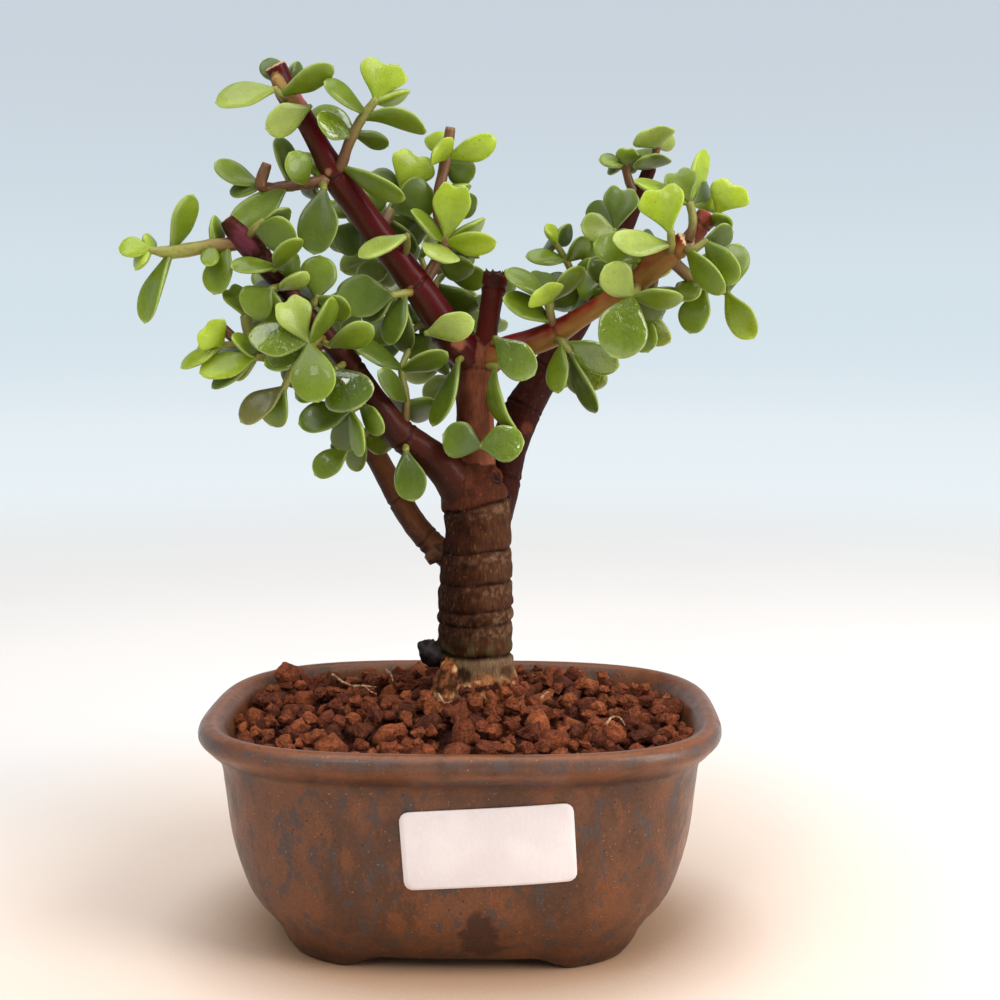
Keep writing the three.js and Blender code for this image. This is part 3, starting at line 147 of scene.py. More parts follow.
# A shoot has its twig's points on the front view, its radius at root and tip or at each point, its
# leaves, and their tones. A leaf has its place along the twig in points, its tip's square, the depth
# of the tip behind the leaf's foot, its width, its roll in degrees, and NOTCHED if it is a broad one
# with a notch at its tip. Its tone is one letter: y yellow green, m mid, d dark, p pale, b brownish,
# and a capital for a wet one. "bark" is the brown share of the twig, and 1 has a cut end. "on" is the
# shoot whose node it belongs to, if that isn't its own.
NOTCHED = True
YOUNG_BARK = 0.35
Shoot = namedtuple("Shoot", "twig thick leaves tones bark on", defaults=(YOUNG_BARK, None))
SHOOTS = {
    "crown_left": Shoot([(286, 100, -4), (281, 95, -6), (276, 90, -7)], [1.3, 1],
        [(2, 216, 103, -1, 8, 38), (1, 333, 66, -2, 8, 48)], "pm"),
    "crown_back": Shoot([(288, 90, -1), (284, 82, 4)], [1.2, 0.9],
        [(1, 263, 61, 1, 6.5, 10), (1, 302, 66, 5, 6.5, 20)], "dd"),
    "crown_front": Shoot([(303, 112, 0), (309, 107, -5)], [1.1, 0.9],
        [(1, 266, 129, -5, 8.8, -20)], "p"),
    "crown_right": Shoot([(333, 180, 3), (341, 166, 0), (349, 143, -2), (361, 120, -3),
        (375, 101, -4)], [2, 1.3],
        [(3.3, 324, 82, -2, 8, 60), (3, 426, 131, -3, 8.4, 52), (2.4, 388, 146, 4, 6.5, 45),
        (2.3, 317, 117, -6, 8, 36), (4, 384, 65, 3, 13, 0, NOTCHED), (4, 409, 93, 6, 8, 68),
        (1, 405, 198, -5, 8.4, 48), (2.4, 313, 109, 2, 8, 36)], "mmdMyymM", bark=0.7),
    "left_node": Shoot([(335, 178, 3), (322, 181, 0), (306, 184, 0), (287, 186, 1), (270, 188, 0),
        (261, 184, -2), (266, 167, -2)], [1.9, 1.9, 1.8, 1.7, 1.7, 1.9, 1.7],
        [(2, 289, 153, -3, 8.5, 25), (1.6, 312, 199, 6, 6, 30), (3, 231, 226, -7, 8.4, 18),
        (2.8, 280, 137, 3, 8, 48), (5, 215, 163, 1, 7, 42), (5, 230, 191, 3, 6, 48),
        (1, 297, 154, 5, 6, 30)], "mdmdmdm", bark=1),
    "hanging_leaf": Shoot([(322, 180, 1), (324, 189, -3)], [1.4, 1.1],
        [(1, 314, 254, -3, 10.8, 8)], "d", on="left_node"),
    "behind_main": Shoot([(372, 228, 6), (362, 222, 13), (356, 215, 18)], [1.3, 1],
        [(1, 339, 251, 3, 10, 10), (1.5, 379, 186, 2, 9, 15), (2, 335, 200, 3, 8, 20),
        (2, 366, 190, 10, 8, 30)], "dmmd"),
    "main_left_back": Shoot([(378, 235, 6), (387, 219, 10), (393, 206, 13), (402, 196, 16)], [2.2, 1],
        [(3, 416, 157, 2, 12.8, 0, NOTCHED), (1.5, 432, 190, 2, 12, 15), (1.3, 424, 238, 4, 10, 5),
        (3, 372, 172, 5, 8, 30), (3, 384, 182, 12, 8, 20), (1, 409, 256, 6, 9, 30)], "yddddd", bark=0.5),
    "tall_back": Shoot([(424, 284, 9), (436, 262, 11), (445, 243, 9), (438, 212, 12), (440, 188, 13),
        (446, 158, 14), (450, 131, 14)], [2, 1.8],
        [(2, 455, 188, -4, 10.6, 0, NOTCHED), (2, 411, 211, -3, 8.4, 58), (2, 496, 242, -3, 8, 32),
        (2.1, 485, 220, 5, 8.6, 56), (5, 496, 139, -1, 7.6, 25), (5, 437, 146, -6, 9.5, 0, NOTCHED),
        (5.2, 430, 135, 4, 7, 10), (4.9, 473, 178, 5, 8, 15), (3.9, 471, 187, 3, 7, 68),
        (3.2, 477, 203, 6, 8, 20), (2, 477, 258, 3, 7, 60), (1.2, 472, 273, 6, 8.6, 25),
        (1.8, 437, 260, -6, 11.5, 0, NOTCHED)], "ymyyyyydmdmdp", bark=1),
    "front_leaf": Shoot([(402, 262, 7), (407, 247, 3), (407, 236, -1)], [1.2, 1],
        [(2, 359, 257, -4, 8, 56)], "p"),
    "between_upper": Shoot([(436, 300, 11), (436, 284, 15), (446, 272, 20)], [1.4, 1],
        [(1, 478, 309, 1, 8.6, 36), (2, 486, 280, 2, 8, 30), (2, 470, 248, 3, 8, 20),
        (1.5, 442, 242, 6, 7, 30)], "dmmd"),
    "between_lower": Shoot([(448, 326, 10), (454, 319, 19), (462, 308, 26)], [1.4, 1],
        [(1, 481, 322, 3, 8, 20), (2, 488, 306, 6, 8, 20), (1.2, 470, 345, 6, 8, 25)], "mdd"),
    "fork_front": Shoot([(443, 322, 9), (432, 331, 4), (427, 333, 1)], [1.1, 0.9],
        [(2, 474, 321, -2, 8.6, 25)], "p"),
    "main_left_low": Shoot([(418, 292, 8), (406, 293, 3), (393, 295, 0)], [1.4, 1.1],
        [(2, 336, 296, -3, 12, 8), (1, 389, 345, -3, 8.2, 34), (1.3, 404, 352, 6, 8, 35),
        (2, 362, 318, 6, 8, 30)], "dddd"),
    "under_main": Shoot([(436, 318, 9), (420, 325, 13), (408, 334, 17)], [1.3, 1],
        [(2, 366, 330, 2, 9, 20), (2, 424, 356, 0, 9, 20), (1, 404, 308, 6, 8.6, 20),
        (2, 390, 302, 9, 8.6, 20), (1, 446, 352, 5, 8.6, 35), (2, 376, 352, 8, 9, 30)], "mmdddd"),
    "fork_left_leaf": Shoot([(468, 352, 12), (458, 361, 4)], [1.2, 1],
        [(1, 433, 426, -3, 7.6, 50)], "d"),
    "middle_low": Shoot([(404, 437, 4), (406, 402, 3), (402, 370, 1), (408, 352, 3)], [1.5, 1],
        [(2, 353, 344, -5, 8.6, 48), (2, 447, 352, -4, 9, 52), (1, 378, 371, -3, 7, 45),
        (1, 434, 414, 4, 9, 20), (1.4, 395, 425, 7, 9, 20)], "ddddd"),
    "rosette": Shoot([(326, 337, -4), (317, 341, -10), (309, 343, -17)], [1.5, 1.2],
        [(2, 286, 303, -1, 10.5, 10, NOTCHED), (2, 332, 297, -2, 8.4, 58), (2, 249, 337, -4, 9.8, 12),
        (2, 318, 402, -5, 12, 4), (1.5, 265, 365, 0, 9, 32)], "pmMmM"),
    "round_front": Shoot([(347, 360, -2), (341, 366, -6), (336, 369, -9)], [1.3, 1],
        [(2, 360, 407, -3, 14, 0), (2, 296, 398, 3, 8, 30)], "Dm"),
    "low_left_upper": Shoot([(320, 340, -8), (329, 345, -11)], [1.1, 1],
        [(1, 373, 326, -2, 9.2, 44)], "m", on="rosette"),
    "low_left_stub": Shoot([(322, 342, -4), (290, 354, -7), (258, 352, -9), (240, 343, -10),
        (220, 326, -11)], [2.2, 2.2, 2, 1.7, 1.6],
        [(2, 232, 339, -5, 7, 45), (1.2, 300, 388, 4, 8, 30), (1.6, 262, 322, 4, 8, 30)], "mdd", bark=1),
    "stub_leaf": Shoot([(252, 350, -9), (249, 334, -8), (246, 317, -8)], [1.9, 1.9],
        [(2, 229, 290, -1, 7.6, 40, NOTCHED)], "m", on="low_left_stub"),
    "far_low_left": Shoot([(242, 344, -10), (222, 345, -12)], [1.2, 1],
        [(1, 181, 368, -2, 7, 60), (1, 205, 328, -1, 10, 12, NOTCHED),
        (1, 196, 352, 6, 6, 35)], "yyy", on="low_left_stub"),
    "low_outer": Shoot([(276, 352, -8), (268, 358, -10), (257, 357, -12)], [1.4, 1.1],
        [(2, 200, 373, -3, 7.8, 25), (2, 234, 377, 1, 6.6, 35), (2, 212, 388, 6, 5, 40),
        (2, 220, 352, 5, 5, 30)], "ymdd", on="low_left_stub"),
    "low_hanging": Shoot([(300, 351, -6), (292, 370, -8), (284, 388, -9)], [1.5, 1.1],
        [(2, 241, 422, -3, 8.6, 35), (2, 270, 425, 3, 8.6, 35)], "bm", on="low_left_stub"),
    "low_middle": Shoot([(374, 402, 2), (361, 405, -3), (351, 411, -5)], [1.3, 1],
        [(2, 299, 424, -3, 9, 20), (2, 362, 456, -4, 8, 60), (1, 384, 432, -4, 7, 35),
        (2, 338, 449, 4, 7.5, 20), (1, 330, 388, 6, 8, 30)], "dmmdd"),
    "low_drop": Shoot([(382, 414, 2), (364, 434, 5), (350, 449, 6)], [1.4, 1],
        [(2, 315, 475, -2, 8, 30), (2, 338, 436, 5, 8, 20), (1, 352, 470, 3, 7, 30),
        (1, 390, 450, -3, 7, 30)], "mdmm"),
    "under_bough": Shoot([(406, 440, 4), (406, 450, -1)], [1.2, 1],
        [(1, 413, 501, -3, 9, 5)], "d"),
    "outer_curl": Shoot([(247, 243, -9), (254, 229, -13), (262, 222, -13)], [1.4, 1],
        [(1, 297, 240, -3, 9.6, 14), (2, 291, 212, 4, 7, 45)], "md"),
    "low_left_mid": Shoot([(272, 272, -8), (276, 267, -13)], [1.2, 1],
        [(1, 231, 267, -2, 7.5, 60), (1, 298, 238, -2, 7.4, 52), (1, 300, 262, 4, 7, 20)], "mmd"),
    "low_left_under": Shoot([(286, 290, -7), (278, 287, -11), (271, 289, -13)], [1.2, 1],
        [(2, 245, 312, -2, 10, 15), (2, 274, 322, -4, 8.6, 28), (1, 307, 272, -3, 7.4, 55),
        (1, 250, 300, 5, 8, 20)], "mmpd"),
    "low_left_over": Shoot([(305, 312, -5), (314, 303, -7), (317, 298, -7)], [1.2, 1],
        [(2, 320, 256, 2, 10, 10), (2, 350, 316, 3, 8, 30), (1, 292, 278, 5, 7, 40),
        (1, 352, 300, 7, 8, 20)], "mmdd"),
    "long_left": Shoot([(247, 243, -9), (212, 246, -11), (172, 252, -13),
        (150, 250, -14)], [2, 2.1, 2, 0.8],
        [(3, 119, 248, -1, 7, 36), (3, 135, 270, -4, 6.5, 56), (3, 150, 236, 2, 5, 48),
        (2, 193, 195, 2, 8.4, 52), (2, 145, 323, -3, 8.4, 60), (1, 217, 217, 2, 6.5, 50),
        (1, 207, 266, -3, 5, 20), (0.5, 214, 294, -3, 8.4, 40)], "yyymmmmm"),
    "trunk_pair": Shoot([(478, 446, 9), (480, 446, 4)], [1.4, 1.2],
        [(1, 443, 435, -4, 10.5, 0), (1, 524, 442, -4, 10.5, 0)], "dM"),
    "fork_long_leaf": Shoot([(484, 366, 10), (497, 366, 3)], [1.2, 1],
        [(1, 518, 433, -3, 8, 50)], "m"),
    "fork_round_leaf": Shoot([(492, 345, 10), (496, 338, 3)], [1.2, 0.9],
        [(1, 534, 375, -5, 10.4, 14)], "M"),
    "right_upright_twig": Shoot([(556, 333, 8), (551, 318, 5), (549, 301, 3)], [1.5, 1.4],
        [(2, 541, 288, -6, 11, 0, NOTCHED), (2, 506, 270, 2, 8.6, 56), (2, 584, 268, 0, 8.6, 58),
        (1.6, 578, 289, 4, 8.6, 30), (0.7, 503, 298, -4, 9.4, 52),
        (2, 541, 272, 8, 8, 30)], "ymmdmd", bark=0.6),
    "right_under": Shoot([(553, 336, 8), (562, 342, 3), (569, 350, 1)], [1.5, 1.1],
        [(1, 619, 366, -5, 9, 20), (1.2, 558, 393, -3, 8, 40), (2, 602, 388, 3, 9, 20),
        (2, 595, 413, 5, 8, 60)], "MmMd"),
    "right_big_leaf": Shoot([(637, 283, 1), (636, 292, -4), (633, 296, -6)], [1.5, 1.2],
        [(2, 614, 358, -5, 13.6, 0), (2, 605, 266, -4, 9.4, 10), (2, 683, 297, -3, 8.6, 44),
        (1, 660, 318, 6, 9, 20)], "Mpmd"),
    "right_inner": Shoot([(612, 298, 4), (606, 290, 9), (600, 284, 13)], [1.3, 1],
        [(2, 577, 286, 2, 8.6, 20), (2, 598, 256, 4, 8.6, 25), (1, 590, 312, 6, 8, 40),
        (2, 570, 308, 9, 8, 30)], "mddd"),
    "right_lower_twig": Shoot([(656, 265, 0), (652, 290, 6), (638, 314, 6)], [1.5, 1.1],
        [(2, 670, 342, -4, 8.6, 25), (2, 648, 352, 0, 9, 20), (2, 665, 310, 4, 8.6, 25),
        (1, 684, 300, 5, 8, 40)], "Pmdd"),
    "right_node": Shoot([(638, 281, 2), (636, 268, 1), (637, 262, 0)], [1.4, 1.1],
        [(2, 594, 243, -2, 9.4, 20), (2, 654, 236, 4, 9, 30)], "md"),
    "right_heart": Shoot([(669, 256, -2), (671, 244, -7), (671, 233, -9)], [1.4, 1.2],
        [(2, 660, 191, 2, 12.5, 0, NOTCHED), (1, 613, 240, -4, 8.8, 40)], "yp"),
    "right_tip": Shoot([(688, 242, -2), (693, 222, -2), (690, 204, -1)], [1.5, 1.3],
        [(2, 676, 174, 2, 9.6, 15, NOTCHED), (2, 707, 151, 5, 7, 50), (2, 634, 180, 3, 8.6, 62),
        (2, 704, 181, 7, 6, 35)], "myyd"),
    "right_end": Shoot([(706, 228, 2), (714, 221, 3), (717, 213, 3)], [1.4, 1],
        [(2, 733, 185, -2, 12, 8, NOTCHED), (1, 731, 219, -3, 6, 30), (2, 698, 196, 4, 7, 20)], "ymy"),
    "right_end_low": Shoot([(684, 246, -3), (692, 250, -6), (706, 241, -6)], [1.5, 1.1],
        [(2, 736, 283, -3, 8.6, 20), (0.4, 725, 292, -7, 8, 40), (2, 733, 232, 4, 8, 40)], "mmd"),
    "right_drop": Shoot([(668, 257, -1), (690, 277, 6), (706, 288, 8), (727, 292, 8)], [2.2, 1],
        [(3, 754, 338, -2, 8.6, 25), (3, 738, 244, 1, 8.6, 25), (2, 690, 333, -1, 9, 20),
        (1.4, 683, 301, -4, 8, 35), (1, 712, 262, 5, 8, 30)], "ymmmd"),
    "back_inner": Shoot([(588, 305, 41), (576, 282, 34), (566, 260, 30), (556, 244, 29)], [1.5, 1],
        [(3, 547, 224, 1, 5.5, 45), (2, 526, 257, -3, 7, 48), (3, 545, 248, 5, 8, 50),
        (2, 586, 237, -2, 7.5, 50), (1, 547, 281, -2, 8, 50), (1, 602, 262, -6, 8, 20),
        (3, 572, 228, 5, 7, 40)], "ymdmmmd"),
    "back_heart": Shoot([(611, 258, 45), (606, 245, 34), (614, 231, 26)], [1.6, 1.1],
        [(2, 622, 191, 3, 10.5, 0, NOTCHED), (2, 581, 225, -2, 8.6, 25), (1, 580, 258, -3, 8.6, 20),
        (2, 590, 204, 6, 9, 10), (1, 640, 240, -3, 8.6, 30)], "dpmdm"),
    "back_small_twig": Shoot([(638, 197, 48), (630, 184, 46), (625, 165, 45)], [1.7, 1.5],
        [(2, 599, 160, -1, 7, 62), (2, 627, 149, -3, 7, 20, NOTCHED), (2, 640, 161, 4, 6.5, 30),
        (2, 610, 168, 7, 6, 30)], "mmdd", bark=1),
    "back_crown": Shoot([(650, 169, 48), (653, 163, 47), (657, 147, 46)], [1.7, 1.4],
        [(2, 651, 129, -6, 13, 0, NOTCHED), (0.6, 650, 155, -7, 11.5, 0, NOTCHED),
        (2, 672, 134, 5, 7, 30), (1, 640, 152, 6, 7, 30)], "pdpm", bark=1),
}

# A shoot grown by rule on the back of the boughs has its twig, its pairs of leaves and their length.
GrownShoot = namedtuple("GrownShoot", "twig pairs leaf on", defaults=(None,))
GROWN_SHOOTS = {
    "back_low": GrownShoot([(466, 386, 36), (452, 380, 52), (440, 366, 64)], 3, 13),
    "back_mid": GrownShoot([(456, 348, 47), (476, 330, 58), (486, 306, 66)], 3, 13),
    "back_tip": GrownShoot([(434, 292, 59), (424, 266, 62), (414, 240, 62)], 3, 13),
    "back_left": GrownShoot([(427, 274, 61), (404, 284, 64), (382, 290, 66)], 3, 13, on="back_tip"),
    "main_back": GrownShoot([(400, 264, 8), (388, 262, 24), (376, 256, 38)], 3, 13),
    "main_top_back": GrownShoot([(388, 262, 24), (364, 236, 28), (346, 214, 30)], 3, 12, on="main_back"),
    "low_back": GrownShoot([(348, 362, -2), (342, 352, 14), (330, 340, 28)], 3, 13),
    "outer_back": GrownShoot([(292, 297, -6), (284, 300, 8), (276, 302, 20)], 3, 12),
    "right_back": GrownShoot([(562, 346, 37), (566, 360, 50), (574, 366, 60)], 3, 12),
    "right_back_top": GrownShoot([(608, 264, 46), (622, 268, 58), (636, 274, 66)], 3, 12),
}
GROWN_TWIG_RADIUS = (1.4, 0.9)
GROWN_TONES = "mmd"               # two mid leaves to a dark one
GROWN_LEAF_SEED = 11
LENGTH_SPREAD = 0.3
LEAF_LEAN = math.radians(58)      # between a grown leaf and its twig
CROSSED = math.pi / 2             # turn from one pair to the next
FIRST_PAIR = 0.5                  # turn of the lowest pair, in radians
GROWN_LEAF_WIDTH = 0.64           # as a share of its length
# A leaf of the solids that met another one was leant back or forward, or turned about its twig.
LEANS = (0, 1.5, -1.5, 3, -3, 4.5, -4.5, 6, -6, 8, -8, 10, -10, 12, -12)
TURNS = [math.radians(degrees) for degrees in (0, 20, -20, 40, -40)]
TIP_TOLERANCE = 0.05              # between a leaf's tip and the corner of its solid


# ---------------------------------------------------------------- vectors and noise
def in_metres(places):
    return np.asarray(places) * MM + ORIGIN


def in_millimetres(places):
    return (np.asarray(places) - ORIGIN) / MM


def unit(vectors):
    return vectors / np.linalg.norm(vectors, axis=-1, keepdims=True)


def on_view(u, v, y):
    """The point at depth y on the sight line through square (u, v)."""
    sight = (BOARD_FORWARD + BOARD_RIGHT * (u - BOARD_MIDDLE) / BOARD_FOCUS
             + BOARD_UP * (BOARD_MIDDLE - v) / BOARD_FOCUS)
    return EYE + sight * (y - EYE[1]) / sight[1]


def squares_of(places):
    """The squares of the front view that places are seen on."""
    from_eye = places - EYE
    scale = BOARD_FOCUS / (from_eye @ BOARD_FORWARD)
    return np.stack([BOARD_MIDDLE + from_eye @ BOARD_RIGHT * scale,
                     BOARD_MIDDLE - from_eye @ BOARD_UP * scale], -1)


def smooth_rows(rows, steps):
    """A Catmull-Rom curve through the rows, with the given steps to each span."""
    rows = np.asarray(rows, float)
    padded = np.vstack([2 * rows[0] - rows[1], rows, 2 * rows[-1] - rows[-2]])
    t = np.arange(steps) / steps
    basis = 0.5 * np.stack([
        -t + 2 * t**2 - t**3, 2 - 5 * t**2 + 3 * t**3, t + 4 * t**2 - 3 * t**3, t**3 - t**2], -1)
    spans = [basis @ padded[i:i + 4] for i in range(len(rows) - 1)]
    return np.vstack([*spans, rows[-1:]])


def travelled(rows):
    """The distance from the first row to each row, along the line through them."""
    return np.concatenate([[0], np.cumsum(np.linalg.norm(np.diff(rows, axis=0), axis=1))])


def even_ring(rows, count):
    """Evenly spaced rows round the closed line through the rows."""
    closed = np.vstack([rows, rows[:1]])
    travel = travelled(closed)
    even = np.arange(count) / count * travel[-1]
    return np.column_stack([np.interp(even, travel, column) for column in closed.T])


def flat_ring(outline, height):
    """Places at a height, or at one height each, over an outline's x and y."""
    return np.column_stack([outline, np.broadcast_to(height, len(outline))])


def around(count):
    """Even angles of a whole turn."""
    return 2 * math.pi * np.arange(count) / count


def unit_circle(count):
    return np.column_stack([np.cos(around(count)), np.sin(around(count))])


def smooth_step(value, low, high):
    t = np.clip((value - low) / (high - low), 0, 1)
    return t * t * (3 - 2 * t)


def bump_at(value, middle, width):
    return np.exp(-((value - middle) / width)**2)


def noise_at(places, shift=0):
    """Perlin noise, about -1 to 1, with features about one unit across."""
    rows = (np.asarray(places) + shift).reshape(-1, 3).tolist()
    return np.array([noise.noise(row) for row in rows]).reshape(np.shape(places)[:-1])


def blend(a, b, share):
    """Colours or numbers between a and b, by an array of shares."""
    share = np.asarray(share)[..., None] if np.ndim(a) or np.ndim(b) else share
    return a + (b - a) * share


def colour(red, green, blue):
    """A screen colour, 0 to 255 a channel, as the linear light that shaders take."""
    share = np.array([red, green, blue]) / 255
    return np.where(share <= 0.04045, share / 12.92, ((share + 0.055) / 1.055)**2.4)


# ---------------------------------------------------------------- meshes
def loft(rings, foot=None, tip=None):
    """Places and triangles of a closed skin over rings of equal numbers of places. A pole closes
    each end: the given place or the middle of the end ring."""
    count, sides = rings.shape[:2]
    foot = rings[0].mean(0) if foot is None else foot
    tip = rings[-1].mean(0) if tip is None else tip
    ring, side = np.meshgrid(np.arange(count - 1) * sides, np.arange(sides), indexing="ij")
    after = (side + 1) % sides
    a, b = (ring + side).ravel(), (ring + after).ravel()
    walls = [np.stack([a, b, b + sides], -1), np.stack([a, b + sides, a + sides], -1)]
    side, after = side[0], after[0]
    last = (count - 1) * sides
    pole = np.full(sides, count * sides)
    caps = [np.stack([pole, after, side], -1), np.stack([pole + 1, last + side, last + after], -1)]
    return np.vstack([rings.reshape(-1, 3), foot, tip]), np.vstack(walls + caps)


def with_poles(values):
    """Values on rings in a row, then the mean of the first ring and of the last, for the poles."""
    flat = values.reshape(-1, *values.shape[2:])
    return np.concatenate([flat, values[:1].mean(1), values[-1:].mean(1)])


def turned_frames(path):
    """For each point of a path, the way along it and two directions across that don't twist."""
    along = unit(np.gradient(path, axis=0))
    across = np.array([0.0, 0, 1]) if abs(along[0][2]) < 0.9 else np.array([1.0, 0, 0])
    sides = []
    for way in along:
        across = unit(across - way * (across @ way))
        sides.append(across)
    sides = np.array(sides)
    return along, sides, np.cross(along, sides)


def tube_rings(path, radii, sides):
    """Round rings along a path, with a radius for each ring or for each place."""
    _, side, third = turned_frames(path)
    angle = around(sides)
    radii = np.broadcast_to(np.reshape(radii, (len(path), -1)), (len(path), sides))[..., None]
    return path[:, None] + radii * (
        side[:, None] * np.cos(angle)[:, None] + third[:, None] * np.sin(angle)[:, None])


def in_scene(name, data):
    made = bpy.data.objects.new(name, data)
    bpy.context.scene.collection.objects.link(made)
    return made


class Shape:
    """One piece in the making: places, triangles, material slots and fields, which are values at
    every place that its materials read."""

    def __init__(self):
        self.places = []
        self.faces = []
        self.slots = []
        self.fields = {}
        self.count = 0

    def add(self, places, faces, slot=0, **fields):
        for name, value in fields.items():
            value = np.asarray(value, float)
            if value.shape[:1] != (len(places),):
                value = np.broadcast_to(value, (len(places), *value.shape))
            self.fields.setdefault(name, []).append(value)
        self.places.append(places)
        self.faces.append(faces + self.count)
        self.slots.append(np.full(len(faces), slot))
        self.count += len(places)

    def finished(self, name, *finishes, slot=None, replaces=()):
        mesh = bpy.data.meshes.new(name)
        mesh.from_pydata(in_metres(np.vstack(self.places)).tolist(), [], np.vstack(self.faces).tolist())
        for finish in finishes:
            mesh.materials.append(finish)
        mesh.polygons.foreach_set("material_index", np.concatenate(self.slots))
        for field, values in self.fields.items():
            values = np.concatenate(values)
            kind, key = ("FLOAT", "value") if values.ndim == 1 else ("FLOAT_VECTOR", "vector")
            mesh.attributes.new(field, kind, "POINT").data.foreach_set(key, values.ravel())
        mesh.shade_smooth()
        piece = in_scene(name, mesh)
        if slot:
            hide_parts(*replaces)
            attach(piece, "root")
        return piece


def applied(piece, kind, **settings):
    """The piece's mesh after a modifier."""
    modifier = piece.modifiers.new(kind.lower(), kind)
    for setting, value in settings.items():
        setattr(modifier, setting, value)
    bpy.context.view_layer.update()
    evaluated = piece.evaluated_get(bpy.context.evaluated_depsgraph_get())
    return bpy.data.meshes.new_from_object(evaluated)


# ---------------------------------------------------------------- materials
NOISE_SPAN = (0.3, 0.7)           # where most of a noise's values lie
LEAF_SPECK = colour(60, 66, 24)
LEAF_MARGIN = colour(186, 202, 104)
BARK_FLECK = colour(136, 98, 56)
BARK_CRACK = colour(26, 14, 9)
CLAY_DUST = colour(150, 88, 52)
GLAZE_BROWNS = (colour(76, 45, 25), colour(106, 62, 35))
GLAZE_RUST = colour(118, 65, 30)
GLAZE_SLATE = colour(66, 56, 53)
GLAZE_BLOOM = colour(82, 68, 63)
WORN_GLAZE = colour(136, 78, 42)
# the glaze pool's colour, also used for painted shade under the rim and for the darkening towards the foot
GLAZE_POOL_AND_SHADE = colour(50, 24, 15)
PIN_HOLE = colour(26, 15, 12)
PALE_POINT = colour(176, 150, 128)
PAPER_WHITES = (colour(220, 208, 206), colour(227, 217, 214))
ROOT_STRAWS = (colour(190, 150, 112), colour(112, 70, 44))
PLASTIC_GREYS = (colour(38, 44, 40), colour(64, 60, 50))


class Finish:
    """A material whose Principled shader is fed by nodes. Lengths in its nodes are in metres."""

    def __init__(self, name, **numbers):
        self.material = bpy.data.materials.new(name)
        self.material.use_nodes = True
        self.tree = self.material.node_tree
        self.shader = self.tree.nodes["Principled BSDF"]
        self.places = self.node("ShaderNodeTexCoord").outputs["Object"]
        for socket, value in numbers.items():
            self.shader.inputs[socket.replace("_", " ")].default_value = value

    def feed(self, socket, value):
        if isinstance(value, bpy.types.NodeSocket):
            self.tree.links.new(value, socket)
        elif socket.type == "RGBA":
            socket.default_value = (*value, 1)
        else:
            socket.default_value = value

    def node(self, kind, inputs=None, **settings):
        made = self.tree.nodes.new(kind)
        for setting, value in settings.items():
            setattr(made, setting, value)
        for socket, value in (inputs or {}).items():
            self.feed(made.inputs[socket], value)
        return made

    def field(self, name):
        return self.node("ShaderNodeAttribute", attribute_name=name).outputs["Fac"]

    def vector_field(self, name):
        return self.node("ShaderNodeAttribute", attribute_name=name).outputs["Vector"]

    def stretched(self, vector, scale):
        return self.node("ShaderNodeMapping", {"Vector": vector, "Scale": scale}).outputs[0]

    def noise(self, scale, detail=3, vector=None, roughness=0.5):
        return self.node("ShaderNodeTexNoise", {
            "Vector": vector or self.places, "Scale": scale, "Detail": detail,
            "Roughness": roughness}).outputs["Fac"]

    def cells(self, scale):
        inputs = {"Vector": self.places, "Scale": scale}
        return self.node("ShaderNodeTexVoronoi", inputs).outputs["Distance"]

    def span(self, value, low, high, to_low=0.0, to_high=1.0):
        """A value carried smoothly from one span to another, and held at its ends."""
        return self.node("ShaderNodeMapRange", {
            "Value": value, "From Min": low, "From Max": high, "To Min": to_low, "To Max": to_high,
        }, interpolation_type="SMOOTHSTEP").outputs[0]

    def math(self, operation, *values):
        made = self.node("ShaderNodeMath", operation=operation)
        for socket, value in zip(made.inputs, values):
            self.feed(socket, value)
        return made.outputs[0]

    def times(self, a, b):
        return self.math("MULTIPLY", a, b)

    def mix(self, share, a, b, blend_type="MIX"):
        made = self.node("ShaderNodeMix", data_type="RGBA", blend_type=blend_type)
        for socket, value in zip([made.inputs[i] for i in (0, 6, 7)], (share, a, b)):
            self.feed(socket, value)
        return made.outputs[2]

    def grey(self, value):
        """A number as a grey, to multiply a colour by."""
        return self.node("ShaderNodeCombineColor", {0: value, 1: value, 2: value}).outputs[0]

    def shade(self, base, value):
        return self.mix(1.0, base, self.grey(value), "MULTIPLY")

    def mottle(self, base, value, low, high):
        """The base darkened to low and lightened to high where a noise runs from little to much."""
        return self.shade(base, self.span(value, *NOISE_SPAN, low, high))

    def stain(self, base, mask, share, tone):
        """The base with a share of the tone over it where the mask is."""
        return self.mix(self.times(mask, share), base, tone)

    def bump(self, height, distance, normal=None):
        inputs = {"Height": height, "Distance": distance}
        if normal:
            inputs["Normal"] = normal
        return self.node("ShaderNodeBump", inputs).outputs[0]

    def done(self, base, roughness=None, normal=None):
        for socket, value in (("Base Color", base), ("Roughness", roughness), ("Normal", normal)):
            if value is not None:
                self.feed(self.shader.inputs[socket], value)
        return self.material


def leaf_finish():
    """Fleshy leaf: a satin skin with a thin pale margin and fine dark specks, glossy where it is wet."""
    finish = Finish("leaf_skin", IOR=1.45, Specular_IOR_Level=0.4, Coat_Roughness=0.05)
    mottle = finish.noise(300, 4)
    grain = finish.noise(2000, 2)
    wet = finish.field("Wet")
    base = finish.shade(finish.vector_field("Tint"), finish.span(mottle, 0.25, 0.75, 0.9, 1.1))
    base = finish.mottle(base, grain, 0.94, 1.06)
    base = finish.stain(base, finish.span(finish.noise(1500, 0), 0.76, 0.82), 0.45, LEAF_SPECK)
    base = finish.stain(base, finish.field("Rim"), 0.42, LEAF_MARGIN)
    rough = finish.math("SUBTRACT", finish.span(mottle, 0.2, 0.8, 0.3, 0.42), finish.times(wet, 0.2))
    finish.feed(finish.shader.inputs["Coat Weight"], finish.math("MULTIPLY_ADD", wet, 0.85, 0.14))
    drops = finish.bump(finish.times(finish.noise(500, 2), wet), 0.0005)
    return finish.done(base, rough, finish.bump(grain, 0.00004, drops))


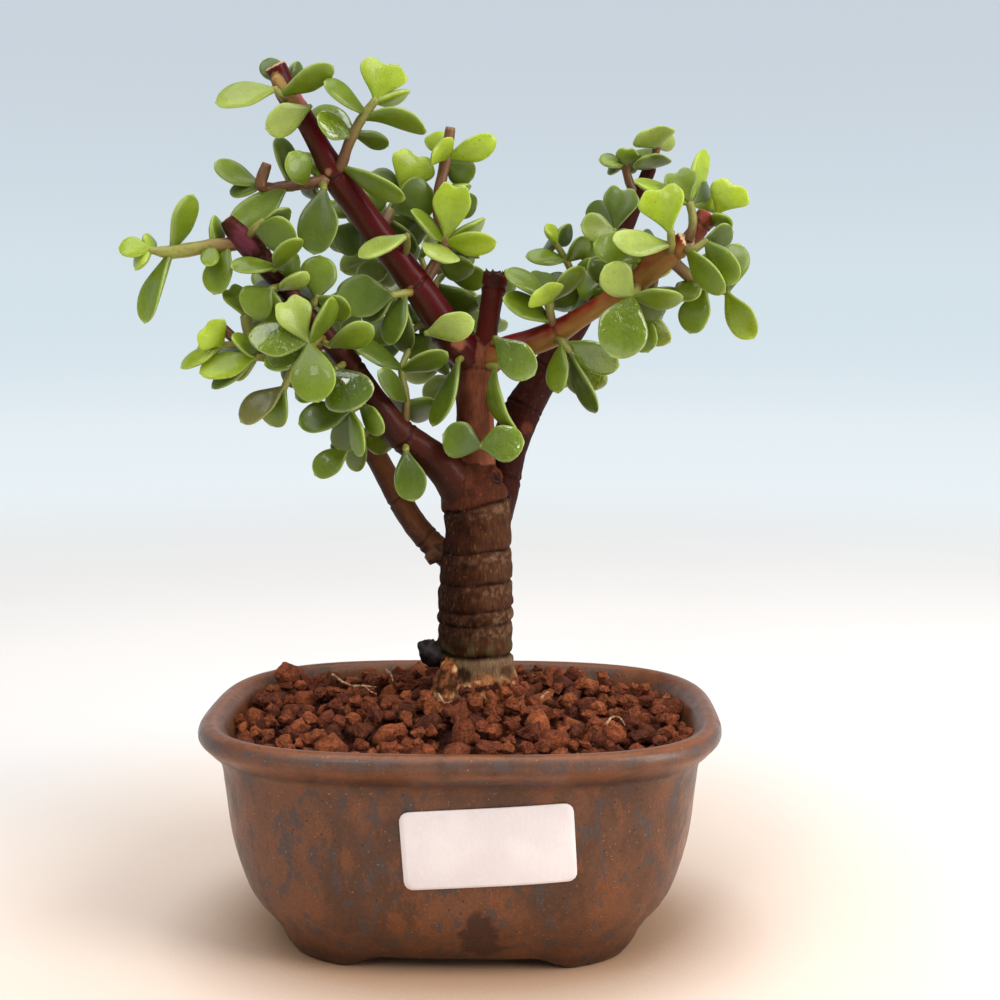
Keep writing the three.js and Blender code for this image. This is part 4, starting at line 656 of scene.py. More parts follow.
def twig_finish():
    """Young stem: green to brown, with fine streaks along it."""
    finish = Finish("twig_skin", IOR=1.45, Coat_Weight=0.1, Coat_Roughness=0.3)
    streak = finish.noise(900, 4)
    base = finish.mottle(finish.vector_field("Tint"), streak, 0.84, 1.12)
    rough = finish.span(streak, *NOISE_SPAN, 0.42, 0.6)
    return finish.done(base, rough, finish.bump(streak, 0.00008))


def bark_finish():
    """Bark. Where the Old field is low it is smooth and satin. Where it is high it has streaks along
    the wood, from its Grain field, fine cracks and yellow flecks."""
    finish = Finish("bark_skin", IOR=1.45, Specular_IOR_Level=0.07, Coat_Roughness=0.25)
    grain = finish.vector_field("Grain")
    old = finish.field("Old")
    depth = finish.span(old, 0.0, 1.0, 0.18, 1.0)
    streak = finish.noise(1.3, 5, finish.stretched(grain, (1, 1, 1.6)), 0.6)
    fine = finish.noise(4, 4, grain, 0.6)
    base = finish.vector_field("Tint")
    for value, low, high in ((streak, -0.22, 0.22), (fine, -0.2, 0.16)):
        change = finish.span(value, *NOISE_SPAN, low, high)
        base = finish.shade(base, finish.math("MULTIPLY_ADD", change, depth, 1.0))
    flecks = finish.noise(1.6, 4, finish.stretched(grain, (1, 1, 2.6)), 0.7)
    base = finish.stain(base, finish.times(finish.span(flecks, 0.6, 0.66), old), 0.45, BARK_FLECK)
    base = finish.stain(base, finish.span(fine, 0.26, 0.38, 0.4, 0.0), depth, BARK_CRACK)
    finish.feed(finish.shader.inputs["Coat Weight"], finish.span(old, 0.1, 0.6, 0.12, 0.0))
    rough = finish.span(old, 0.0, 1.0, 0.38, 0.8)
    streaks = finish.times(streak, depth)
    cracks = finish.bump(finish.times(fine, depth), 0.00016)
    return finish.done(base, rough, finish.bump(streaks, 0.0003, cracks))


def granule_finish():
    """Baked clay granules: porous and dusty, red-brown, each with its own tone."""
    finish = Finish("granule_skin", Roughness=0.95, Specular_IOR_Level=0.2)
    blotch = finish.noise(500, 4)
    pores = finish.noise(1700, 5, roughness=0.7)
    base = finish.mottle(finish.vector_field("Tint"), blotch, 0.7, 1.3)
    base = finish.shade(base, finish.span(pores, 0.3, 0.65, 0.4, 1.25))
    base = finish.stain(base, finish.span(finish.noise(900, 3), 0.56, 0.72), 0.35, CLAY_DUST)
    return finish.done(base, None, finish.bump(pores, 0.0008, finish.bump(blotch, 0.0009)))


def glaze_finish():
    """Brown stoneware glaze: blue-grey and orange mottles that run down, a grey bloom on the rim's
    roll, worn lips, pin holes and a few pale points."""
    finish = Finish("glaze_skin", IOR=1.5, Specular_IOR_Level=0.3, Coat_Weight=0.1, Coat_Roughness=0.16)
    runs = finish.stretched(finish.places, (1, 1, 0.6))
    cloud = finish.noise(60, 5, runs, 0.6)
    patch = finish.noise(210, 6, runs, 0.68)
    grain = finish.noise(1500, 4, None, 0.6)
    base = finish.mix(finish.span(cloud, 0.38, 0.62), *GLAZE_BROWNS)
    base = finish.stain(base, finish.span(finish.noise(150, 6, runs, 0.7), 0.54, 0.64), 0.55, GLAZE_RUST)
    base = finish.stain(base, finish.span(patch, 0.535, 0.6), 0.75, GLAZE_SLATE)
    base = finish.mottle(base, grain, 0.84, 1.16)
    base = finish.stain(base, finish.field("Slate"), finish.span(patch, 0.35, 0.6, 0.25, 0.6), GLAZE_BLOOM)
    base = finish.stain(base, finish.field("Worn"), finish.span(patch, 0.35, 0.6, 0.2, 0.75), WORN_GLAZE)
    # the glaze pool on the front, painted shade under the rim, and darker towards the foot
    base = finish.mix(finish.field("Pool"), base, GLAZE_POOL_AND_SHADE)
    holes = finish.span(finish.cells(260), 0.05, 0.09, 1.0, 0.0)
    base = finish.stain(base, holes, 0.8, PIN_HOLE)
    base = finish.stain(base, finish.span(finish.noise(1700, 0), 0.79, 0.83), 0.35, PALE_POINT)
    rough = finish.span(patch, *NOISE_SPAN, 0.28, 0.46)
    dents = finish.bump(finish.math("SUBTRACT", grain, holes), 0.00012)
    return finish.done(base, rough, finish.bump(cloud, 0.0008, dents))


def paper_finish():
    """Label paper: smooth and warm white, with faint fibres and clouding."""
    finish = Finish("label_paper", Coat_Weight=0.15, Coat_Roughness=0.3)
    fibres = finish.noise(2400, 5, finish.stretched(finish.places, (1, 1, 0.3)))
    base = finish.mix(finish.span(finish.noise(90, 3), *NOISE_SPAN), *PAPER_WHITES)
    base = finish.mottle(base, fibres, 0.96, 1.0)
    return finish.done(base, finish.span(fibres, *NOISE_SPAN, 0.42, 0.55), finish.bump(fibres, 0.00003))


def root_finish():
    """Dry hair roots: straw coloured, with darker joints."""
    finish = Finish("root_skin", Roughness=0.8)
    joints = finish.noise(800, 3)
    base = finish.mix(finish.span(joints, 0.35, 0.65), *ROOT_STRAWS)
    return finish.done(base, None, finish.bump(joints, 0.0001))


def plastic_finish():
    """Moulded drain mesh: dark plastic, scuffed and a little dusty."""
    finish = Finish("mesh_plastic", IOR=1.5)
    scuff = finish.noise(700, 4)
    base = finish.mix(finish.span(scuff, 0.4, 0.7), *PLASTIC_GREYS)
    return finish.done(base, finish.span(scuff, *NOISE_SPAN, 0.45, 0.7), finish.bump(scuff, 0.00008))


# ---------------------------------------------------------------- leaves
LEAF_SEED = 23
LEAF_ROWS = 20
LEAF_SIDES = 26
LEAF_SHARE = 1 - (1 - np.arange(LEAF_ROWS)[:, None] / LEAF_ROWS)**1.6  # its rings, as shares of its length
LEAF_ANGLE = around(LEAF_SIDES)[None]
LEAF_ACROSS = np.sign(np.cos(LEAF_ANGLE)) * np.abs(np.cos(LEAF_ANGLE))**0.9  # -1 to 1, from side to side
LEAF_UP = np.sin(LEAF_ANGLE)
OVAL_OUTLINE = (0.6, 0, 1.35)     # place of the greatest width, half width at the tip, rise from the foot
NOTCHED_OUTLINE = (0.76, 0.62, 1.8)
NOTCHED_FOLD = 1.8                # how much more a notched leaf is folded
NOTCH_DEPTH = 0.09                # as a share of the leaf's length
LEAF_POINT = 0.25                 # how far an oval one's point stands out
LEAF_WAVE = 0.035                 # of its outline, as a share of its half width
LEAF_RIPPLE = 0.05
LEAF_GROOVE = (0.14, 0.14)        # depth and half width of the groove along its middle
LEAF_ARCH = (0.01, 0.036)         # mean and spread, as shares of its length
LEAF_BOW = 0.02
LEAF_TWIST = 0.18                 # spread, in radians
LEAF_TONE_SPREAD = 0.08
LEAF_TONES = {                    # face, margin and tip
    "y": (colour(131, 153, 18), colour(154, 172, 40)),
    "m": (colour(87, 105, 12), colour(112, 132, 26)),
    "d": (colour(64, 80, 10), colour(83, 101, 18)),
    "p": (colour(128, 144, 50), colour(152, 166, 78)),
    "b": (colour(92, 92, 40), colour(110, 106, 52)),
}
LEAF_UNDERSIDE = colour(118, 132, 62)
TWIG_BROWN = colour(98, 62, 26)
TWIG_GREEN = colour(124, 122, 48)
TWIG_CUT = colour(120, 84, 52)
TWIG_SIDES = 12
TWIG_STEPS = 8
TWIG_NODE = (0.11, 0.1)           # swelling at a pair of leaves and its half width in points
CUT_TAPER = 0.15                  # how much a cut twig narrows at its end, as a share
GROWN_TAPER = 0.65

BENT_LEAVES = {(518, 433): 0.13, (433, 426): -0.13}  # sideways bow of two leaves, by their tip's square
Blade = namedtuple("Blade", "foot tip length width along normal side notched bend")


def blade_from(twig_point, tip, width, face, notched=False, bend=0.0):
    along = unit(tip - twig_point)
    foot = twig_point - along * LEAF_ROOT
    normal = unit(face - along * (face @ along))
    side = np.cross(along, normal)
    return Blade(foot, tip, np.linalg.norm(tip - foot), width, along, normal, side, notched, bend)


def is_corner(place, corners):
    return np.abs(corners - place).max(1).min() < TIP_TOLERANCE


def drawn_blade(twig_point, leaf, corners):
    """The blade of a drawn leaf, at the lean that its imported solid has."""
    _, u, v, depth, width, roll, *notched = leaf
    roll = math.radians(roll)
    for lean in LEANS:
        tip = on_view(u, v, twig_point[1] + depth + lean)
        if is_corner(tip, corners):
            flat = blade_from(twig_point, tip, width, unit(EYE - twig_point))
            face = flat.normal * math.cos(roll) + flat.side * math.sin(roll)
            return blade_from(twig_point, tip, width, face, bool(notched), BENT_LEAVES.get((u, v), 0))
    return None


def grown_blade(twig_point, along, azimuth, length, corners):
    """The blade of a grown leaf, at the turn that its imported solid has."""
    first = unit(np.cross(along, (0, 0, 1)))
    second = np.cross(first, along)
    for turn in TURNS:
        out = first * math.cos(azimuth + turn) + second * math.sin(azimuth + turn)
        tip = twig_point + length * (along * math.cos(LEAF_LEAN) + out * math.sin(LEAF_LEAN))
        if is_corner(tip, corners):
            return blade_from(twig_point, tip, length * GROWN_LEAF_WIDTH, along)
    return None


def random_stream(seed):
    """The draws from 0 to 1 that the solids' grown leaves were made with."""
    draw = seed
    while True:
        draw = (draw * 1664525 + 1013904223) % 2**32
        yield draw / 2**32


def along_twig(points, place):
    i = min(int(place), len(points) - 2)
    return points[i] + (points[i + 1] - points[i]) * (place - i)


def grown_blades(points, places, leaf, chance, corners):
    """The blades of a grown shoot, a pair at each of the places along its twig."""
    blades = []
    for pair, place in enumerate(places):
        i = math.ceil(place)
        along = unit(points[i] - points[i - 1])
        for half in (0, math.pi):
            length = leaf * (1 + LENGTH_SPREAD * (next(chance) - 0.5))
            azimuth = FIRST_PAIR + half + pair * CROSSED
            blades.append(grown_blade(along_twig(points, place), along, azimuth, length, corners))
    return blades


def leaf_half(share, widest, end, rise):
    """Half width along a leaf, as a share of its greatest, with its half width at the tip."""
    below = 0.1 + 0.9 * np.sin(math.pi / 2 * np.clip(share / widest, 0, 1)**rise)
    fall = (np.clip(share - widest, 0, 1) / (1 - widest))**2.3
    above = np.sqrt(np.clip(1 - (1 - end**2) * fall, 0, 1))
    return np.where(share < widest, below, above)


def leaf_rings(blade, character, phase):
    """Rings of a plump leaf with its own arch, bow, twist, waves, cup and widest place."""
    arch, bow, twist, wave, cup, slope = character
    share, across, up = LEAF_SHARE, LEAF_ACROSS, LEAF_UP
    if blade.notched:
        outline = leaf_half(share, *NOTCHED_OUTLINE)
        fold = NOTCHED_FOLD
    else:
        outline = leaf_half(share, OVAL_OUTLINE[0] + 0.03 * slope, *OVAL_OUTLINE[1:])
        fold = 1 + 0.4 * cup
    half = outline * (1 + LEAF_WAVE * np.sin(2 * math.pi * share * 1.4 + phase[0]) * np.sign(across))
    reach = np.abs(half * across)
    lobes = smooth_step(share, 0.45, 1) * np.sin(math.pi * np.clip(reach / 0.86, 0, 1))
    forward = share + NOTCH_DEPTH * blade.notched * lobes
    rounding = np.sqrt(np.clip(1 - np.clip((share - 0.6) / 0.4, 0, 1)**5, 0, 1))
    thick = LEAF_THICKNESS / 2 * (0.45 + 0.55 * np.sin(math.pi * share)**0.8) * rounding
    x = half * across * blade.width / 2
    lift = LEAF_FOLD * fold * blade.width * np.abs(across)**1.6 * outline
    groove = LEAF_GROOVE[0] * bump_at(across, 0, LEAF_GROOVE[1]) * (up > 0) * (1 - share)
    ripple = LEAF_RIPPLE * (1 + wave / 3) * np.sin(share * 9 + phase[1]) * np.sin(across * 3 + phase[2])
    bulge = 4 * share * (1 - share) * blade.length
    z = thick * up + lift - groove + ripple + (LEAF_ARCH[0] + LEAF_ARCH[1] * arch) * bulge
    turn = LEAF_TWIST * twist * (share - 0.2)
    x, z = x * np.cos(turn) - z * np.sin(turn), x * np.sin(turn) + z * np.cos(turn)
    x = x + (LEAF_BOW * bow + blade.bend) * bulge
    return (blade.foot + blade.along * (forward * blade.length)[..., None]
            + blade.side * x[..., None] + blade.normal * z[..., None])


def leaf_tint(tone, level, wave, phase):
    """A leaf's colours: painted shade that darkens it towards its foot and on one side, and paler at its
    margin, its tip and below.
    """
    share, across, up = LEAF_SHARE, LEAF_ACROSS, LEAF_UP
    face, margin = LEAF_TONES[tone.lower()]
    # painted shade and light: darker at the foot, lighter towards the tip, lighter on one side and darker
    # on the other
    level = level * (0.79 + 0.29 * share) * (1 + 0.06 * wave * across)
    edge = np.abs(across)**5 * np.ones_like(share)
    pale = np.clip(0.12 + 0.35 * edge + 0.6 * share**3 + 0.12 * np.sin(share * 5 + phase), 0, 1)
    tint = blend(face, margin, pale) * level[..., None]
    tint = blend(tint, LEAF_UNDERSIDE, 0.4 * (up < 0) * np.ones_like(share))
    return blend(tint, TWIG_GREEN, 0.5 * (1 - smooth_step(share, 0, 0.14)) * np.ones_like(up))


def add_leaf(shape, blade, tone, draws):
    """A leaf on a blade, with its own form and tone, and a point or a notch at its tip."""
    character = draws.normal(size=6)
    phase = draws.uniform(0, 2 * math.pi, 4)
    rings = leaf_rings(blade, character, phase)
    level = 1 + LEAF_TONE_SPREAD * draws.normal()
    tint = leaf_tint(tone, level, character[3], phase[3])
    side_rim = np.abs(LEAF_ACROSS)**26 * smooth_step(LEAF_SHARE, 0.1, 0.3)
    rim = np.maximum(side_rim, smooth_step(LEAF_SHARE, 0.95, 1))
    point = 0 if blade.notched else LEAF_POINT
    places, faces = loft(rings, tip=blade.tip + blade.along * point)
    shape.add(places, faces, 0, Tint=with_poles(tint), Rim=with_poles(rim), Wet=float(tone.isupper()))


def add_twig(shape, points, radii, leaf_places, bark, draws):
    """A twig with a swelling at each pair of leaves, and a grown tip or a cut end."""
    end = points[-1] + unit(points[-1] - points[-2]) * TWIG_END
    rows = smooth_rows(np.column_stack([np.vstack([points[:-1], end]), radii]), TWIG_STEPS)
    place = np.arange(len(rows)) / TWIG_STEPS
    radius = rows[:, 3] * (0.87 + 0.03 * np.sin(place * 9 + draws.uniform(0, 6)))
    for pair in sorted(set(leaf_places)):
        radius = radius * (1 + TWIG_NODE[0] * bump_at(place, pair, TWIG_NODE[1]))
    cut = bark >= 1
    ending = smooth_step(place, place[-1] - 0.12, place[-1] + 0.03)
    radius = radius * (1 - (CUT_TAPER if cut else GROWN_TAPER) * ending)
    rings = tube_rings(rows[:, :3], radius, TWIG_SIDES)
    share = place / place[-1]
    tint = blend(TWIG_BROWN, TWIG_GREEN, smooth_step(share, bark - 0.3, bark + 0.3) * (not cut))
    tint = blend(tint, TWIG_CUT, cut * (share > 0.999)) * (1 + 0.1 * draws.normal())
    tint = np.broadcast_to(tint[:, None], rings.shape)
    places, faces = loft(rings)
    shape.add(places, faces, 1, Tint=with_poles(tint), Rim=0.0, Wet=0.0)


def twig_radii(points, thick):
    return thick if len(thick) == len(points) else np.linspace(*thick, len(points))


def make_shoots(leaf_skin, twig_skin):
    """One piece for each leafy node, with every leaf of its solid."""
    draws = np.random.default_rng(LEAF_SEED)
    chance = random_stream(GROWN_LEAF_SEED)
    sprays = {}

    def start(name, shoot):
        """The piece that the shoot belongs to, its solid's corners and its twig's points."""
        node = f"shoot_{shoot.on or name}"
        corners = in_millimetres([vertex.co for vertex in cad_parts[node].data.vertices])
        return sprays.setdefault(node, Shape()), corners, np.array([on_view(*row) for row in shoot.twig])

    def dress(shape, points, thick, bark, places, blades, tones):
        for blade, tone in zip(blades, tones):
            if blade:
                add_leaf(shape, blade, tone, draws)
        add_twig(shape, points, twig_radii(points, thick), places, bark, draws)

    for name, shoot in SHOOTS.items():
        shape, corners, points = start(name, shoot)
        places = [leaf[0] for leaf in shoot.leaves]
        blades = [drawn_blade(along_twig(points, leaf[0]), leaf, corners) for leaf in shoot.leaves]
        dress(shape, points, shoot.thick, shoot.bark, places, blades, shoot.tones)
    for name, shoot in GROWN_SHOOTS.items():
        shape, corners, points = start(name, shoot)
        places = [(len(points) - 1) * (pair + 1) / shoot.pairs for pair in range(shoot.pairs)]
        blades = grown_blades(points, places, shoot.leaf, chance, corners)
        tones = draws.choice(list(GROWN_TONES), len(blades)).tolist()
        dress(shape, points, GROWN_TWIG_RADIUS, YOUNG_BARK, places, blades, tones)
    for node, shape in sprays.items():
        shape.finished(f"{node}_leaves", leaf_skin, twig_skin, slot="leaf", replaces=[node])


# ---------------------------------------------------------------- wood
TUBE_STEPS = 8                    # of the tubes that are joined into the wood's skin, to each span
TUBE_SIDES = 32
WOOD_VOXEL = 0.55
WOOD_SMOOTHING = 3
WOOD_STEP = 0.8                   # between the stations that a place's bough is found by
GRAIN_STRETCH = 0.12              # of the way along the wood, which draws the grain's noise out
GRAIN_SHIFT = 31.7                # between one bough's grain and the next one's
CUT_FACING = (0.35, 0.75)         # how far a place faces along its bough to lie on its cut end
GROOVE_SWELLING = (2, 1.4)        # distance from a groove of the trunk, and half width
GROOVE_CRUST = (2.2, 2)
SCAR_WIDTH = 0.4                  # half width of a bough's ring scar
SCAR_RIDGE = (0.9, 0.6)           # distance from the scar, and half width
OUTER_SKIN = 0.6                  # share of a bough's radius beyond which ring scars show
ROUGH_LAYERS = [                  # wood, depth, scale and shift of its own rough layer
    (("trunk", "root"), 0.3, 0.2, 13), (("foot_lump",), 0.9, 0.5, 6), (("foot_scar",), 0.7, 0.6, 16)]
NEAREST_CHUNK = 2000
COLLAR = (118, 0.22)              # height and rise to the right, where the boughs' skin begins
TRUNK_GROOVES = [                 # height, rise to the right, depth and half width of the ring scars
    (76.2, -0.05, 0.7, 0.5), (85, 0, 0.5, 0.4), (88.8, 0.03, 0.55, 0.4), (96.6, 0.03, 0.6, 0.45),
    (105.6, 0.07, 0.55, 0.4), (*COLLAR, 0.6, 0.45)]
BOUGH_RINGS = [                   # bough and the square of the front view that its ring scar passes
    ("main_left", (328, 177)), ("main_left", (302, 112)), ("main_left", (410, 290)),
    ("main_left", (446, 330)), ("low_left", (404, 436)), ("low_left", (352, 368)),
    ("low_left", (296, 300)), ("low_left", (258, 256)), ("lowest_left", (398, 500)),
    ("lowest_left", (428, 540)), ("upright", (477, 366)), ("upright", (476, 485)),
    ("cut_middle", (492, 288)), ("front_right", (556, 333)), ("front_right", (637, 283)),
    ("front_right", (674, 252)), ("right_stub", (699, 226)), ("back_right", (504, 480)),
    ("back_right", (524, 410)), ("back_right", (545, 372)), ("back_right", (592, 296)),
    ("back", (462, 366)),
]
# The lit and shaded skins are painted light and shade; on some boughs they also carry the bough's own two
# tones, red above and olive below.
WOOD_SKINS = {                    # screen colours of the skin in painted light, in painted shade below, at the cut end, and age
    "trunk": ((66, 33, 16), (42, 19, 9), (120, 84, 56), 1),
    "root": ((120, 76, 48), (80, 46, 28), (120, 84, 56), 1),
    "upright": ((124, 70, 49), (86, 43, 27), (120, 84, 56), 0.75),
    "main_left": ((71, 11, 14), (64, 28, 12), (196, 156, 112), 0.1),
    "cut_middle": ((82, 24, 15), (64, 21, 12), (46, 24, 16), 0.15),
    "low_left": ((62, 24, 15), (50, 23, 12), (150, 100, 80), 0.3),
    "lowest_left": ((108, 64, 38), (62, 34, 20), (110, 74, 50), 0.4),
    "back_right": ((50, 15, 7), (34, 12, 6), (120, 84, 56), 0.5),
    "front_right": ((112, 18, 13), (136, 98, 44), (206, 176, 134), 0.1),
    "back": ((80, 46, 32), (60, 34, 22), (120, 84, 56), 0.5),
    "right_stub": ((126, 56, 40), (110, 70, 42), (150, 74, 50), 0.3),
    "lowest_stub": ((92, 62, 44), (70, 44, 32), (90, 60, 44), 0.7),
    "foot_lump": ((46, 40, 40), (28, 22, 22), (36, 30, 30), 0.45),
    "foot_scar": ((160, 108, 66), (104, 60, 34), (120, 84, 56), 1),
    "knot": ((80, 38, 24), (58, 28, 18), (50, 25, 17), 0.8),
    "top_peg": ((158, 124, 72), (120, 84, 48), (190, 140, 92), 0.4),
}
RAGGED_CUTS = {                   # depth of the splinters on torn cut ends
    "cut_middle": 2.0, "main_left": 0.8, "front_right": 0.9, "top_peg": 0.8, "foot_lump": 1.0, "knot": 1.8}
PLAIN_CUT = 0.3                   # and on the others
WOOD_PATCHES = [                  # bough, square of the front view, size in squares, screen colour
    ("main_left", (302, 98), 9, (184, 104, 100)),
    ("main_left", (328, 172), 4, (150, 104, 72)),
    ("main_left", (410, 290), 4, (150, 112, 74)),
    ("main_left", (458, 343), 8, (150, 92, 62)),
    ("low_left", (244, 240), 16, (96, 40, 52)),
    ("low_left", (296, 300), 10, (96, 44, 52)),
    ("back_right", (526, 428), 7, (98, 46, 24)),
    ("cut_middle", (496, 279), 9, (40, 20, 15)),
    ("foot_scar", (456, 656), 7, (104, 88, 42)),
    ("foot_scar", (459, 684), 8, (52, 28, 17)),
    ("trunk", (463, 676), 10, (40, 21, 13)),
    ("trunk", (488, 680), 6, (158, 104, 66)),
    ("trunk", (506, 672), 7, (70, 44, 26)),
]
COLLAR_SKIN = colour(76, 37, 22)
DARK_BARK = colour(36, 19, 11)
CRUST = colour(132, 102, 78)      # pale dry skin on the upper edge of each of the trunk's segments, laid on more on the right-facing side as painted light
TORN_FOOT = (colour(44, 21, 12), colour(124, 68, 38), colour(192, 148, 104))  # bark, red bark, wood
TORN_FOOT_TOP = (69, 72)          # heights between which the torn foot ends
FOOT_BAND = colour(130, 104, 76)  # pale band over the torn foot
FOOT_BAND_TOP = (74.5, 76)
MOSS = colour(78, 76, 44)
MOSS_BAND = (78, 3)               # middle height and half width
PAINTED_LIGHT_SIDE = (0.5, -0.15, 0.85)  # where the painted light on the boughs' skin comes from


def wood_paths():
    """Every piece of wood by name: rows of x, y, z and radius."""
    paths = [("trunk", [(x, TRUNK_Y, height, radius) for height, x, radius in TRUNK_SECTIONS])]
    root_x = TRUNK_SECTIONS[3][1]
    for degrees, reach, radius in ROOTS:
        way = np.array([math.cos(math.radians(degrees)), math.sin(math.radians(degrees))])
        paths.append(("root", [
            (root_x + way[0] * reach * far, TRUNK_Y + way[1] * reach * far, height, radius * thick)
            for far, height, thick in ROOT_PROFILE]))
    for name, rows in {**BOUGHS, **STUBS}.items():
        paths.append((name, [(*on_view(u, v, y), radius) for u, v, y, radius in rows]))
    return paths


Stations = namedtuple("Stations", "middle radius along side third travel path last")


def wood_stations(paths):
    """Closely spaced places along all the wood, with the frame, the distance travelled and the path."""
    parts = []
    for index, (_, rows) in enumerate(paths):
        rows = smooth_rows(rows, 12)
        travel = travelled(rows[:, :3])
        count = max(int(travel[-1] / WOOD_STEP), 2)
        even = np.linspace(0, travel[-1], count + 1)
        rows = np.column_stack([np.interp(even, travel, column) for column in rows.T])
        along, side, third = turned_frames(rows[:, :3])
        parts.append((rows[:, :3], rows[:, 3], along, side, third, even,
                      np.full(count + 1, index), np.arange(count + 1) == count))
    return Stations(*(np.concatenate(column) for column in zip(*parts)))


def nearest_stations(places, stations):
    """For each place, the station whose bough has its surface nearest."""
    found = []
    for start in range(0, len(places), NEAREST_CHUNK):
        chunk = places[start:start + NEAREST_CHUNK, None]
        apart = np.linalg.norm(chunk - stations.middle[None], axis=2) - stations.radius
        found.append(apart.argmin(1))
    return np.concatenate(found)


def mesh_arrays(mesh):
    """Places in millimetres, edges and triangles of a mesh."""
    places = np.empty(len(mesh.vertices) * 3)
    mesh.vertices.foreach_get("co", places)
    edges = np.empty(len(mesh.edges) * 2, int)
    mesh.edges.foreach_get("vertices", edges)
    mesh.calc_loop_triangles()
    triangles = np.empty(len(mesh.loop_triangles) * 3, int)
    mesh.loop_triangles.foreach_get("vertices", triangles)
    return in_millimetres(places.reshape(-1, 3)), edges.reshape(-1, 2), triangles.reshape(-1, 3)


def relaxed(places, edges, rounds):
    """Places drawn halfway to the middle of their neighbours, a few times."""
    a, b = edges.T
    degree = np.bincount(edges.ravel(), minlength=len(places))[:, None]
    for _ in range(rounds):
        total = np.stack([
            np.bincount(a, places[b, k], len(places)) + np.bincount(b, places[a, k], len(places))
            for k in range(3)], -1)
        places = (places + total / degree) / 2
    return places


def place_normals(places, triangles):
    corners = places[triangles]
    flat = np.cross(corners[:, 1] - corners[:, 0], corners[:, 2] - corners[:, 0])
    normals = np.stack([
        sum(np.bincount(triangles[:, i], flat[:, k], len(places)) for i in range(3))
        for k in range(3)], -1)
    return unit(normals)


def wood_skin(paths, bark_skin):
    """All the wood joined into one smooth skin: places, triangles and normals."""
    rough = Shape()
    for _, rows in paths:
        rows = smooth_rows(rows, TUBE_STEPS)
        rough.add(*loft(tube_rings(rows[:, :3], rows[:, 3], TUBE_SIDES)))
    piece = rough.finished("wood_rough", bark_skin)
    joined = applied(piece, "REMESH", mode="VOXEL", voxel_size=WOOD_VOXEL * MM)
    bpy.data.objects.remove(piece)
    places, edges, triangles = mesh_arrays(joined)
    places = relaxed(places, edges, WOOD_SMOOTHING)
    return places, triangles, place_normals(places, triangles)


class Wood:
    """The places of the wood's skin, with the bough that each lies on, its grain and its age. All but
    the places themselves stay as they are on the smooth skin, before the relief."""

    def __init__(self, places, normals, paths):
        stations = wood_stations(paths)
        nearest = nearest_stations(places, stations)
        self.places = places
        self.normals = normals
        self.height = places[:, 2]
        self.stations = stations
        self.station_names = np.array([name for name, _ in paths])[stations.path]
        self.names = self.station_names[nearest]
        skins = {name: [colour(*tone) for tone in tones] for name, (*tones, _) in WOOD_SKINS.items()}
        # each bough's skin in painted light and in painted shade, and its cut end
        self.light, self.below, self.cut_end = (
            np.array([skins[name][k] for name in self.names]) for k in range(3))
        age = np.array([WOOD_SKINS[name][3] for name in self.names])
        offset = places - stations.middle[nearest]
        self.local_x, self.local_y, ahead = (
            (offset * way[nearest]).sum(1) for way in (stations.side, stations.third, stations.along))
        self.travel = stations.travel[nearest] + ahead
        self.out = np.hypot(self.local_x, self.local_y) / stations.radius[nearest]
        facing_out = (normals * stations.along[nearest]).sum(1)
        self.cut = stations.last[nearest] * smooth_step(facing_out, *CUT_FACING) * (self.names != "trunk")
        self.grain = self.drawn_out(GRAIN_STRETCH) + stations.path[nearest][:, None] * GRAIN_SHIFT
        self.fissures = noise_at(self.grain * 0.9) + 0.6 * noise_at(self.grain * 2.1, 5)
        self.knobs = noise_at(places * 0.35, 9)
        self.waver = 0.9 * noise_at(self.drawn_out(0) * 0.16, 3)
        self.on_trunk = np.isin(self.names, ("trunk", "root"))
        over_collar = self.height - COLLAR[0] - COLLAR[1] * places[:, 0]
        self.collar = self.on_trunk * smooth_step(over_collar + 0.9 * self.knobs, -0.3, 0.6)
        self.age = age * (1 - 0.35 * self.collar)

    def drawn_out(self, share):
        """Places in the bough's own frame, for noise that is drawn out along the wood."""
        return np.column_stack([self.local_x, self.local_y, self.travel * share])


def both_sides(value, middle, width):
    return bump_at(value, middle, width) + bump_at(value, -middle, width)


def trunk_rings(wood):
    """The ring scars round the trunk: their groove, the swelling beside it and the crust below it."""
    groove, swelling, crust = np.zeros((3, len(wood.places)))
    uneven = 1 + 0.7 * noise_at(wood.places * 0.22, 11)
    for level, rise, depth, width in TRUNK_GROOVES:
        below_groove = level + rise * wood.places[:, 0] - wood.height - wood.waver
        groove += wood.on_trunk * depth * uneven * bump_at(below_groove, 0, width)
        swelling += wood.on_trunk * both_sides(below_groove, *GROOVE_SWELLING)
        crust += bump_at(below_groove, *GROOVE_CRUST)
    return groove, swelling, crust


def bough_rings(wood):
    """The ring scars round the boughs: their groove, and the ridges beside it."""
    scars, ridges = np.zeros((2, len(wood.places)))
    for name, square in BOUGH_RINGS:
        own = (wood.names == name) * (wood.out > OUTER_SKIN)
        station = np.flatnonzero(wood.station_names == name)
        apart = np.linalg.norm(squares_of(wood.stations.middle[station]) - square, axis=1)
        beyond = wood.travel + 1.2 * wood.waver - wood.stations.travel[station[apart.argmin()]]
        scars += own * bump_at(beyond, 0, SCAR_WIDTH)
        ridges += own * both_sides(beyond, *SCAR_RIDGE)
    return scars, ridges


def wood_relief(wood, groove, swelling, scars, ridges):
    """How far the bark stands off the smooth skin, with torn cut ends and a rough foot."""
    relief = wood.fissures * (0.02 + 0.08 * wood.age) + wood.knobs * 0.3 * wood.age
    relief += 0.2 * swelling + 0.16 * ridges - 0.28 * scars - groove
    ragged = np.array([RAGGED_CUTS.get(name, PLAIN_CUT) for name in wood.names])
    splinters = noise_at(wood.drawn_out(0.3) * 1.5, 2)
    relief -= wood.cut * (0.4 * bump_at(wood.out, 0, 0.35) + ragged * splinters)
    for names, depth, scale, shift in ROUGH_LAYERS:
        relief += np.isin(wood.names, names) * depth * noise_at(wood.places * scale, shift)
    return relief


